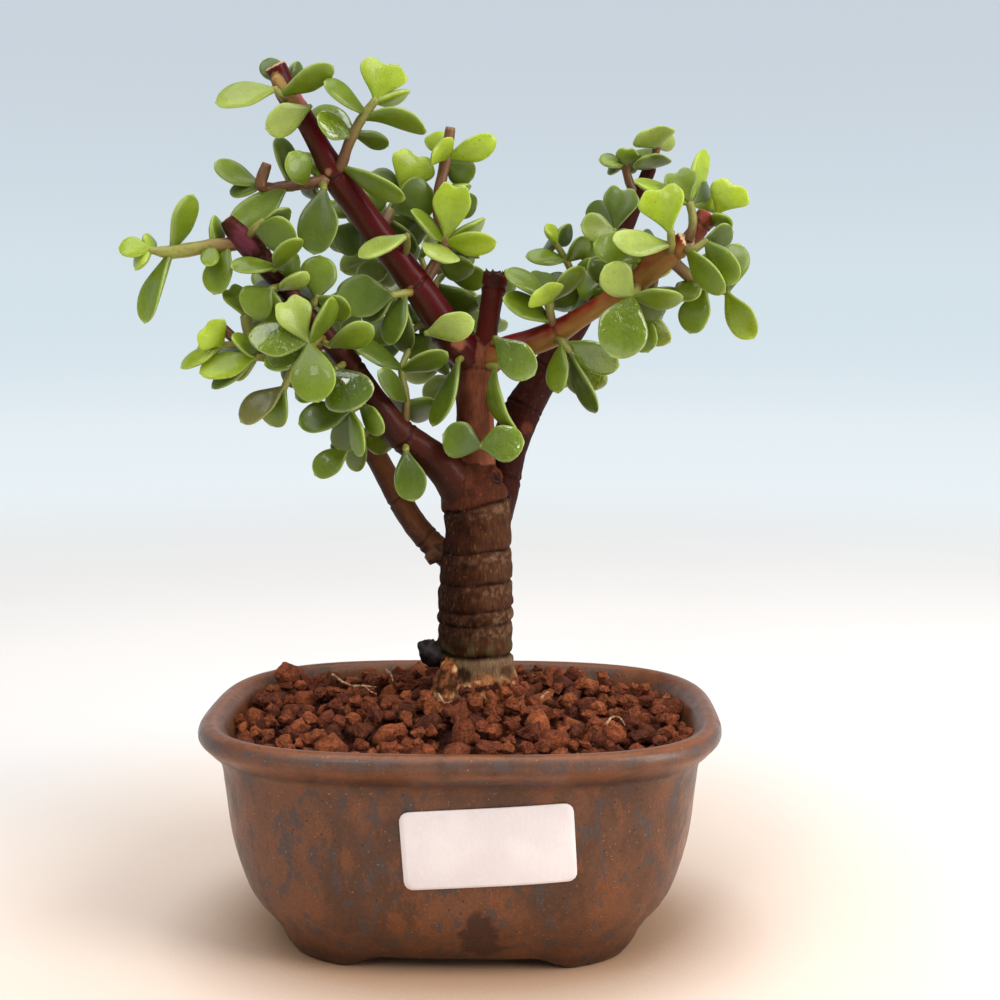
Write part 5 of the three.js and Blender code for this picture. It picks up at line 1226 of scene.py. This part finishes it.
def trunk_tint(wood, tint, crust):
    """The trunk's crusts, collar, stains, moss and pale torn foot over its skin, with painted light on its
    right-facing side and painted shade on its left.
    """
    places, knobs, on_trunk = wood.places, wood.knobs, wood.on_trunk
    # painted light: how far the bark faces right, towards the light
    right = smooth_step(wood.normals[:, 0] + 0.5 * knobs, -0.3, 0.7)
    blotches = smooth_step(noise_at(places * 0.8, 14) + 0.6 * noise_at(places * 2, 15), -0.2, 0.5)
    crust_and_light = 0.6 * np.clip(crust, 0, 1) * blotches * (0.2 + 0.8 * right) + 0.1 * right
    tint = blend(tint, CRUST, on_trunk * crust_and_light * (1 - wood.collar))
    tint = blend(tint, COLLAR_SKIN, 0.85 * wood.collar)
    stained = smooth_step(noise_at(places * 0.28, 21) + 0.4 * noise_at(places * 0.9, 22), 0, 0.5)
    # painted shade: the dark stains are weaker on the right-facing side and stronger on the left
    tint = blend(tint, DARK_BARK, 0.5 * on_trunk * stained * (1 - 0.6 * right))
    moss = bump_at(wood.height, *MOSS_BAND) * smooth_step(knobs, -0.3, 0.4)
    tint = blend(tint, MOSS, 0.5 * on_trunk * moss)
    flecks = smooth_step(noise_at(wood.grain * 1.6, 8) + 0.5 * knobs, -0.25, 0.5)
    band = (0.55 + 0.35 * flecks) * (1 - smooth_step(wood.height + wood.waver, *FOOT_BAND_TOP))
    tint = blend(tint, FOOT_BAND, on_trunk * band)
    tears = noise_at(places * 0.42, 4) + 0.5 * noise_at(places * 1.1, 12)
    dark_bark, red_bark, bare_wood = TORN_FOOT
    torn = blend(dark_bark, red_bark, smooth_step(tears, -0.35, 0))
    torn = blend(torn, bare_wood, smooth_step(tears, 0.2, 0.6))
    torn_share = on_trunk * (1 - smooth_step(wood.height + 2.5 * knobs, *TORN_FOOT_TOP))
    return blend(tint, torn, torn_share + 0.9 * (wood.names == "foot_scar"))


def wood_tint(wood, groove, crust, scars):
    """Each place's colour: its bough's skin in painted light and shade, the trunk's marks, patches, cut
    ends, dark scars and painted shade in grooves and fissures.
    """
    # painted light and shade: the skin runs from its shaded tone to its lit tone as it faces the painted
    # light
    painted_light_facing = wood.normals @ unit(np.array(PAINTED_LIGHT_SIDE))
    tint = blend(wood.below, wood.light, smooth_step(painted_light_facing + 0.25 * wood.knobs, -0.35, 0.55))
    tint = trunk_tint(wood, tint, crust)
    squares = squares_of(wood.places)
    for name, square, size, patch in WOOD_PATCHES:
        near = np.linalg.norm(squares - square, axis=1) / size
        near = near + 0.35 * noise_at(wood.places * 0.8, 4)
        share = (wood.names == name) * (1 - smooth_step(near, 0.6, 1.1)) * 0.85
        tint = blend(tint, colour(*patch), share)
    tint = blend(tint, wood.cut_end, wood.cut)
    # painted shade in the hollows of the trunk's grooves and of the fissures, with the dark of the boughs'
    # ring scars
    cracks = 0.3 * smooth_step(-wood.fissures, 0.5, 1.1) * wood.age
    dark = np.clip(1.5 * groove, 0, 1) * 0.85 + 0.5 * scars + cracks
    return tint * (1 - np.clip(dark, 0, 0.85))[:, None]


def make_wood(bark_skin):
    """Trunk, roots and boughs in one skin, with ring scars, fissures, cut ends and each bough's tone."""
    paths = wood_paths()
    places, triangles, normals = wood_skin(paths, bark_skin)
    wood = Wood(places, normals, paths)
    groove, swelling, crust = trunk_rings(wood)
    scars, ridges = bough_rings(wood)
    wood.places = places + normals * wood_relief(wood, groove, swelling, scars, ridges)[:, None]
    tint = wood_tint(wood, groove, crust, scars)
    shape = Shape()
    shape.add(wood.places, triangles, 0, Tint=tint, Grain=wood.grain, Old=wood.age * (1 - wood.cut))
    shape.finished("trunk_and_boughs", bark_skin, slot="bark", replaces=["trunk"])


# ---------------------------------------------------------------- soil
SOIL_SEED = 7
ROCK_SHAPES = 16
ROCK_FACETS = 16
GRANULE_ATTEMPTS = 1500
GRANULE_TRIES = 7
GRANULE_PACKING = 0.86
GRANULE_SIZES = (2.0, 5.5)        # radius, from most to largest
GRANULE_RARITY = 1.3              # how much rarer the large ones are
GRANULE_TOP = (1.1, 0.55)         # highest middle over the soil's surface, less this share of its radius
GRANULE_SCALE = np.array([1, 1, 0.9]) * 1.12  # of a rock, for the granules to touch and lie flat
ROCK_NOISE = [                    # depth, scale and shift of a rock's rough layers
    (0.24, 1.7, 7.3), (0.18, 3.8, 3.1), (0.12, 8, 5.7), (0.06, 16, 2.3)]
BED_DEPTH = 6                     # the bed under the granules, below the soil's surface
BED_EDGE = 52                     # height of the bed along the pot's wall
BED_SIDES = 96
SOIL_CLEAR = 0.5                  # between the soil and the pot's wall
TRUNK_FOOT = (3.5, 11)            # x of the trunk's middle and its radius at the soil
SOIL_TONES = [colour(122, 62, 37), colour(140, 74, 44), colour(98, 49, 31), colour(152, 82, 46)]
SOIL_TONE_SHARES = [0.4, 0.3, 0.2, 0.1]
SHOWN_DEPTH = 2                   # granules whose middle is this near the surface get the finer shapes
PROUD_GRANULE = (288, 675, 28, 4.5)  # square and depth of the one that stands up, and its radius
FINE_ROOT_RADII = (0.42, 0.2)
FINE_ROOT_LIFT = 0.3              # of a hair root's middle off the granules
FINE_ROOTS = [                    # squares of the front view that the hair roots pass
    [(332, 676), (345, 679), (352, 682), (366, 686), (376, 690)],
    [(352, 682), (362, 682), (376, 683)],
    [(386, 666), (391, 671), (393, 677)],
    [(438, 690), (444, 698), (452, 702)],
    [(606, 720), (612, 713), (620, 714), (625, 721)],
    [(541, 694), (546, 689), (549, 688)],
]


def inside_ring(half_width, half_depth, count):
    """Evenly spaced places round a rounded rectangle, as x and y."""
    angle = np.linspace(0, 2 * math.pi, 4001)
    power = 2 / POT_SQUARENESS
    x = half_width * np.sign(np.cos(angle)) * np.abs(np.cos(angle))**power
    y = half_depth * np.sign(np.sin(angle)) * np.abs(np.sin(angle))**power
    return even_ring(np.column_stack([x, y])[:-1], count)


def wall_at(height, rings):
    """Half width and half depth of the pot's inside or outside at a height."""
    rows = np.array(sorted(rings))
    return np.interp(height, rows[:, 0], rows[:, 1]), np.interp(height, rows[:, 0], rows[:, 2])


def soil_height(x, y):
    edge = np.hypot(x / POT_INSIDE[0][1], y / POT_INSIDE[0][2])
    mound = sum(height * bump_at(np.hypot(x - mound_x, y - mound_y), 0, radius)
                for mound_x, mound_y, height, radius in SOIL_MOUNDS)
    return SOIL_RIM_HEIGHT + SOIL_HEAP * np.clip(1 - edge, 0, 1)**SOIL_HEAP_POWER + mound


def rock_shapes(divisions, draws):
    """Unit rocks: balls cut by random facets and roughened."""
    ball = bmesh.new()
    bmesh.ops.create_icosphere(ball, subdivisions=divisions, radius=1)
    round_places = np.array([vertex.co for vertex in ball.verts])
    faces = np.array([[vertex.index for vertex in face.verts] for face in ball.faces])
    ball.free()
    rocks = []
    for shift in range(ROCK_SHAPES):
        places = round_places.copy()
        for _ in range(ROCK_FACETS):
            way = unit(draws.normal(size=3))
            over = np.maximum(places @ way - draws.uniform(0.45, 0.8), 0)
            places = places - over[:, None] * way
        rough = sum(depth * noise_at(places * scale, shift * step) for depth, scale, step in ROCK_NOISE)
        places = places * (1 + rough)[:, None] * draws.uniform(0.8, 1.2, 3)
        rocks.append(places / np.abs(places).max())
    return rocks, faces


def is_free(x, y, half_width, half_depth):
    """Whether a place lies within the half sizes of the pot's inside and off the trunk."""
    trunk_x, trunk_radius = TRUNK_FOOT
    edge = abs(x / half_width)**POT_SQUARENESS + abs(y / half_depth)**POT_SQUARENESS
    return edge <= 1 and math.hypot(x - trunk_x, y - TRUNK_Y) >= trunk_radius


def rest_height(x, y, radius, granules):
    """Height at which a granule rests on the others or on the bed."""
    reach = GRANULE_PACKING * (granules[:, 3] + radius)
    rise = reach**2 - (granules[:, 0] - x)**2 - (granules[:, 1] - y)**2
    held = rise > 0
    on_bed = soil_height(x, y) - BED_DEPTH + radius / 2
    return max(on_bed, (granules[held, 2] + np.sqrt(rise[held])).max()) if held.any() else on_bed


def settled_granules(draws):
    """Granules dropped one by one, each at the lowest of a few places: x, y, z, radius."""
    placed = [(*on_view(*PROUD_GRANULE[:3]), PROUD_GRANULE[3])]
    half_width, half_depth = wall_at(SOIL_RIM_HEIGHT + 1, POT_INSIDE)
    small, large = GRANULE_SIZES
    highest, sunk = GRANULE_TOP
    for _ in range(GRANULE_ATTEMPTS):
        radius = small + (large - small) * draws.uniform()**GRANULE_RARITY
        room = radius + SOIL_CLEAR
        half = np.array([half_width - room, half_depth - room])
        granules = np.array(placed)
        found = []
        for x, y in draws.uniform(-1, 1, (GRANULE_TRIES, 2)) * half:
            if is_free(x, y, *half):
                z = rest_height(x, y, radius, granules)
                found.append((z - soil_height(x, y), (x, y, z, radius)))
        if found:
            over, best = min(found, key=lambda row: row[0])
            if over < highest - sunk * radius:
                placed.append(best)
    return np.array(placed)


def add_granules(shape, granules, divisions, draws):
    rocks, faces = rock_shapes(divisions, draws)
    for x, y, z, radius in granules:
        turn = np.array(Euler(draws.uniform(0, 2 * math.pi, 3)).to_matrix())
        rock = rocks[draws.integers(ROCK_SHAPES)]
        places = rock @ turn.T * radius * GRANULE_SCALE + (x, y, z)
        tone = SOIL_TONES[draws.choice(len(SOIL_TONES), p=SOIL_TONE_SHARES)]
        shape.add(places, faces, 0, Tint=tone * draws.uniform(0.72, 1.25))


def add_bed(shape):
    """The soil under the granules, down to the pot's floor, darkened as painted shade in the gaps between
    them.
    """
    floor = FLOOR_TOP + SOIL_CLEAR
    walls = [(height, 1) for height in np.linspace(floor, BED_EDGE, 12)]
    rings = []
    for height, share in [(floor, 0.3), (floor, 0.7), *walls]:
        half_width, half_depth = wall_at(height, POT_INSIDE)
        outline = share * inside_ring(half_width - SOIL_CLEAR, half_depth - SOIL_CLEAR, BED_SIDES)
        rings.append(flat_ring(outline, height))
    edge = rings[-1][:, :2]
    for share in np.linspace(0.97, 0.06, 22):
        lumps = 1.2 * noise_at(flat_ring(edge * share, 0) * 0.3)
        rings.append(flat_ring(edge * share, soil_height(*(edge * share).T) - BED_DEPTH + lumps))
    places, faces = loft(np.array(rings))
    # painted shade: the bed is half the darkest granule tone, to darken the gaps between the granules
    shape.add(places, faces, 0, Tint=SOIL_TONES[2] * 0.5)


def on_soil(u, v):
    """x and y of the place on the granules that is seen on a square, found step by step."""
    depth = 0.0
    for _ in range(8):
        x, y, z = on_view(u, v, depth)
        depth -= (soil_height(x, y) + 1.5 - z) * 2.2
    return x, y


def height_on(granules, x, y):
    """Height of the granules' tops over a place."""
    rise = granules[:, 3]**2 - (granules[:, 0] - x)**2 - (granules[:, 1] - y)**2
    held = rise > 0
    top = soil_height(x, y)
    return max(top, (granules[held, 2] + 0.8 * np.sqrt(rise[held])).max()) if held.any() else top


def make_fine_roots(granules, finish):
    """Hair roots that lie over the granules."""
    shape = Shape()
    for squares in FINE_ROOTS:
        points = []
        for u, v in smooth_rows(squares, 5):
            x, y = on_soil(u, v)
            points.append((x, y, height_on(granules, x, y) + FINE_ROOT_LIFT))
        points = np.array(points)
        points[1:-1, 2] = (points[:-2, 2] + points[1:-1, 2] + points[2:, 2]) / 3
        rows = smooth_rows(points, 3)
        radius = np.linspace(*FINE_ROOT_RADII, len(rows)) * (1 + 0.2 * np.sin(np.arange(len(rows)) * 1.7))
        shape.add(*loft(tube_rings(rows, radius, 8)))
    shape.finished("hair_roots", finish, slot="bark", replaces=["soil"])


def make_soil(granule_skin, root_skin):
    draws = np.random.default_rng(SOIL_SEED)
    granules = settled_granules(draws)
    shown = granules[:, 2] > soil_height(granules[:, 0], granules[:, 1]) - SHOWN_DEPTH
    for side, own in (("left", granules[:, 0] < 0), ("right", granules[:, 0] >= 0)):
        top = Shape()
        add_granules(top, granules[shown & own], 4, draws)
        top.finished(f"soil_granules_{side}", granule_skin, slot="granules", replaces=["soil"])
    under = Shape()
    add_bed(under)
    add_granules(under, granules[~shown], 2, draws)
    under.finished("soil_bed", granule_skin, slot="granules", replaces=["soil"])
    make_fine_roots(granules, root_skin)


# ---------------------------------------------------------------- pot
POT_RING = 280
POT_STEPS = 6
FOOT_BLEND = (2, 10)              # how far a foot's slope reaches into its arch and under the foot
FOOT_FADE = 12                    # height at which the arches no longer lift the wall
STAIN = (480, 936, 22, 25)        # glaze pool on the front: its square, half width and half height
BASE_INSET = 0.6                  # of the underside's edge from the lowest ring of the wall
LIP_EDGE = (58.6, 1.2)            # middle height and half width of the worn edge under the roll
LIP_TOP = (63.7, 0.5)             # the same of the worn top of the lip
ROLL_TOP = (62, 1.3)              # of the grey bloom on the roll
RIM_SHADE = (55.6, 1.3)           # of the painted shade under the rim's overhang
DRAIN_CUT_SIDES = 48
DRAIN_CUT_SPARE = 2.0             # how far the cut runs past the floor's faces
LABEL_SIDES = 120
LABEL_GAP = 0.1                   # between the label and the wall
LABEL_CURL = 0.3                  # how far its corners lift


def arch_lift(x, y):
    """How far the pot's underside stands off the table."""
    def open_to(value, width):
        return 1 - smooth_step(np.abs(value), width / 2 - FOOT_BLEND[0], width / 2 + FOOT_BLEND[1])
    return FOOT_HEIGHT * np.maximum(open_to(x, FOOT_ARCH_WIDTH), open_to(y, FOOT_ARCH_DEPTH))


def pot_ring(height, half_width, half_depth):
    outline = inside_ring(half_width, half_depth, POT_RING)
    lift = arch_lift(*outline.T) * np.clip(1 - height / FOOT_FADE, 0, 1) if height < FOOT_FADE else 0
    return flat_ring(outline, height + lift)


def stain_share(rings):
    """How much each place on the pot lies in the pool of glaze."""
    squares = squares_of(rings)
    u, v, half_width, half_height = STAIN
    down = (squares[..., 1] - v) / half_height
    near = np.hypot((squares[..., 0] - u) / (half_width * (1 + 0.45 * np.clip(down, -1, 1))), down)
    near = near + 0.35 * noise_at(rings * 0.3, 5) + 0.2 * noise_at(rings * 0.9)
    return (1 - smooth_step(near, 0.85, 1.0)) * (rings[..., 1] < 0)


def cut_drains(pot, glaze_skin):
    """Takes the drain holes out of the pot."""
    cutters = Shape()
    circle = DRAIN_RADIUS * unit_circle(DRAIN_CUT_SIDES)
    for x in (-DRAIN_X, DRAIN_X):
        rings = [flat_ring(circle + (x, 0), z) for z in (-DRAIN_CUT_SPARE, FLOOR_TOP + DRAIN_CUT_SPARE)]
        cutters.add(*loft(np.array(rings)), Worn=0.0, Slate=0.0, Pool=0.0)
    cutter = cutters.finished("drain_cut", glaze_skin)
    pot.data = applied(pot, "BOOLEAN", operation="DIFFERENCE", object=cutter)
    pot.modifiers.clear()
    bpy.data.objects.remove(cutter)


def make_pot(glaze_skin):
    """The pot's wall in smooth rings, its arches between the feet, and its drain holes."""
    outside = smooth_rows(POT_OUTSIDE + POT_INSIDE, POT_STEPS)
    base_half = outside[0][1:] - BASE_INSET
    underside = [pot_ring(0, *(base_half * share)) for share in np.linspace(0.04, 1, 26)]
    walls = [pot_ring(*row) for row in outside]
    floor = [flat_ring(inside_ring(*(outside[-1][1:] * share), POT_RING), FLOOR_TOP)
             for share in np.linspace(0.95, 0.04, 12)]
    rings = np.array(underside + walls + floor)
    split = len(underside) + len(POT_OUTSIDE) * POT_STEPS
    outer = (np.arange(len(rings)) < split)[:, None] * np.ones(POT_RING)
    height = rings[..., 2]
    ragged = height + 2 * noise_at(rings * 0.12, 7)
    # darker towards the foot, with a ragged edge
    foot_dark = 0.55 * (1 - smooth_step(ragged, 1, 7)) + 0.3 * (1 - smooth_step(ragged, 4, 16))
    # painted shade under the rim's overhang
    rim_shade = 0.45 * bump_at(height, *RIM_SHADE)
    dark = outer * np.maximum(np.maximum(0.85 * stain_share(rings), rim_shade), foot_dark)
    lip = np.maximum(0.8 * bump_at(height, *LIP_EDGE) * outer, bump_at(height, *LIP_TOP))
    bloom = bump_at(height, *ROLL_TOP) * outer
    shape = Shape()
    shape.add(*loft(rings), Worn=with_poles(lip), Slate=with_poles(bloom), Pool=with_poles(dark))
    pot = shape.finished("pot_glazed", glaze_skin, slot="pot_glaze", replaces=["pot"])
    cut_drains(pot, glaze_skin)


def front_wall(x, z):
    """y of the pot's front wall."""
    half_width, half_depth = wall_at(z, smooth_rows(POT_OUTSIDE, POT_STEPS).tolist())
    return -half_depth * (1 - np.abs(x / half_width)**POT_SQUARENESS)**(1 / POT_SQUARENESS)


def label_outline():
    """Evenly spaced places round the label's rounded edge, from its middle."""
    quarter = np.linspace(0, math.pi / 2, 8)
    middle = np.array([LABEL_WIDTH / 2 - LABEL_CORNER, LABEL_HEIGHT / 2 - LABEL_CORNER])
    arcs = []
    for turn, signs in enumerate(((1, 1), (-1, 1), (-1, -1), (1, -1))):
        angle = quarter + turn * math.pi / 2
        arcs.append(middle * signs + LABEL_CORNER * np.column_stack([np.cos(angle), np.sin(angle)]))
    return even_ring(np.vstack(arcs), LABEL_SIDES)


def make_label(paper_skin):
    """The blank paper label, laid on the pot's front, its corners rounded and lifting a little."""
    edge = label_outline()
    back = [(share, 1) for share in np.linspace(0.05, 0.9, 8)]
    front = [(share, 0) for share in np.linspace(0.995, 0.05, 16)]
    rings = []
    for share, depth in [*back, (0.995, 1), (1, 0.75), (1, 0.25), *front]:
        u, v = (edge * share).T
        x = LABEL_MIDDLE[0] + u - v * LABEL_TILT
        z = LABEL_MIDDLE[1] + v + u * LABEL_TILT
        corner = np.abs(u / LABEL_WIDTH * 2)**8 * np.abs(v / LABEL_HEIGHT * 2)**4
        off = LABEL_GAP + LABEL_THICKNESS * (1 - depth) + LABEL_CURL * corner
        rings.append(np.column_stack([x, front_wall(x, z) - off, z]))
    shape = Shape()
    shape.add(*loft(np.array(rings)))
    shape.finished("label_sheet", paper_skin, slot="label_paper", replaces=["blank_label"])


# ---------------------------------------------------------------- stage, light and camera
FLOOR_RADIUS = 1100
BOWL_RADIUS = 2600
BOWL_HEIGHT = 1900
STAGE_SIDES = 96
BACKDROP = [colour(236, 240, 240), colour(223, 231, 235), colour(205, 218, 225), colour(194, 204, 213)]
BACKDROP_STEPS = (0.5, 1.3, 1.75, 2.25)  # metres from the middle, between the backdrop's tones
BACKDROP_BASE = colour(80, 84, 88)
FLOOR_END = (0.4, 1.2)            # metres from the middle, where the lit floor turns into the backdrop
FRONT_GLOW = 0.4
FLOOR_TONE = colour(232, 212, 196)
FAR_FLOOR_TONE = colour(240, 235, 231)
CONTACT_SHADOW_TONE = colour(178, 142, 112)  # painted contact shadow on the floor close to the pot, warm as if lit by light off the pot
WARM_LIGHT = (1, 0.98, 0.96)
SKY_LIGHT = (0.93, 0.96, 1)
SKY_STRENGTH = 0.2


def floor_finish():
    """The stage's skin: a lit floor near the pot, with a painted contact shadow round the pot's foot,
    that turns into a glowing backdrop, paler near the floor and dimmer at the front. Distances are in
    metres."""
    finish = Finish("studio_floor", Roughness=0.9, Specular_IOR_Level=0.1)
    x, y, _ = finish.node("ShaderNodeSeparateXYZ", {0: finish.places}).outputs
    away = finish.math("POWER", finish.math("ADD", finish.times(x, x), finish.times(y, y)), 0.5)
    glow = BACKDROP[0]
    for tone, near, far in zip(BACKDROP[1:], BACKDROP_STEPS, BACKDROP_STEPS[1:]):
        glow = finish.mix(finish.span(away, near, far), glow, tone)
    glowing = finish.span(away, *FLOOR_END)
    floor = finish.mix(finish.span(away, 0.08, 0.25), FLOOR_TONE, FAR_FLOOR_TONE)
    lit = finish.mottle(floor, finish.noise(6, 3), 0.985, 1.0)
    # painted contact shadow: the floor takes the contact tone where the pot shuts out the open sky
    open_sky = finish.node("ShaderNodeAmbientOcclusion", {"Distance": 0.045}, samples=8).outputs["AO"]
    lit = finish.mix(finish.span(open_sky, 0.35, 0.95), CONTACT_SHADOW_TONE, lit)
    base = finish.mix(glowing, lit, BACKDROP_BASE)
    finish.feed(finish.shader.inputs["Emission Color"], glow)
    strength = finish.times(glowing, finish.span(y, -1.6, 0.0, FRONT_GLOW, 1.0))
    finish.feed(finish.shader.inputs["Emission Strength"], strength)
    return finish.done(base)


def make_stage():
    """A pale floor that turns up into a backdrop all round."""
    turn = np.linspace(0, math.pi / 2, 24)
    floor = np.linspace(60, FLOOR_RADIUS, 14)[:-1]
    radii = np.concatenate([floor, FLOOR_RADIUS + (BOWL_RADIUS - FLOOR_RADIUS) * np.sin(turn)])
    heights = np.concatenate([0 * floor, BOWL_HEIGHT * (1 - np.cos(turn))])
    circle = unit_circle(STAGE_SIDES)
    rings = [flat_ring(radius * circle, height) for radius, height in zip(radii, heights)]
    places, faces = loft(np.array(rings))
    faces = faces[(faces != len(places) - 1).all(1)]
    shape = Shape()
    shape.add(places[:-1], faces[:, ::-1])
    shape.finished("studio_floor", floor_finish())


def add_light(name, place, target, size, power, tint=(1, 1, 1)):
    """A square area light: its place and target and side in millimetres, its power in watts."""
    lamp = bpy.data.lights.new(name, "AREA")
    lamp.size = size * MM
    lamp.energy = power
    lamp.color = tint
    light = in_scene(name, lamp)
    light.location = in_metres(place)
    light.rotation_euler = (Vector(target) - Vector(place)).to_track_quat("-Z", "Y").to_euler()


def make_lights():
    add_light("key_light", (-400, -650, 1300), (0, 0, 100), 900, 9.5)
    add_light("right_light", (800, -500, 950), (0, 0, 90), 600, 9, WARM_LIGHT)
    add_light("side_light", (700, -330, 300), (0, 0, 80), 320, 2.8, WARM_LIGHT)
    add_light("window_light", (-300, -800, 650), (0, 0, 160), 150, 1.1)
    add_light("top_light", (50, 150, 1500), (0, 0, 100), 1000, 9)
    world = bpy.data.worlds.new("studio")
    world.use_nodes = True
    background = world.node_tree.nodes["Background"]
    background.inputs["Color"].default_value = (*SKY_LIGHT, 1)
    background.inputs["Strength"].default_value = SKY_STRENGTH
    bpy.context.scene.world = world
    bpy.context.scene.view_settings.view_transform = "Standard"


def make_camera():
    lens = bpy.data.cameras.new("camera")
    lens.lens = BOARD_FOCUS * lens.sensor_width / (2 * BOARD_MIDDLE)
    camera = in_scene("camera", lens)
    axes = Matrix([BOARD_RIGHT, BOARD_UP, -BOARD_FORWARD]).transposed()
    camera.matrix_world = Matrix.Translation(in_metres(EYE)) @ axes.to_4x4()
    bpy.context.scene.camera = camera


# ---------------------------------------------------------------- the whole
make_shoots(leaf_finish(), twig_finish())
make_wood(bark_finish())
make_soil(granule_finish(), root_finish())
make_pot(glaze_finish())
make_label(paper_finish())
mesh_skin = plastic_finish()
for node in ("drain_mesh_left", "drain_mesh_right"):
    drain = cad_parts[node]
    drain.data.materials.clear()
    drain.data.materials.append(mesh_skin)
make_stage()
make_lights()
make_camera()
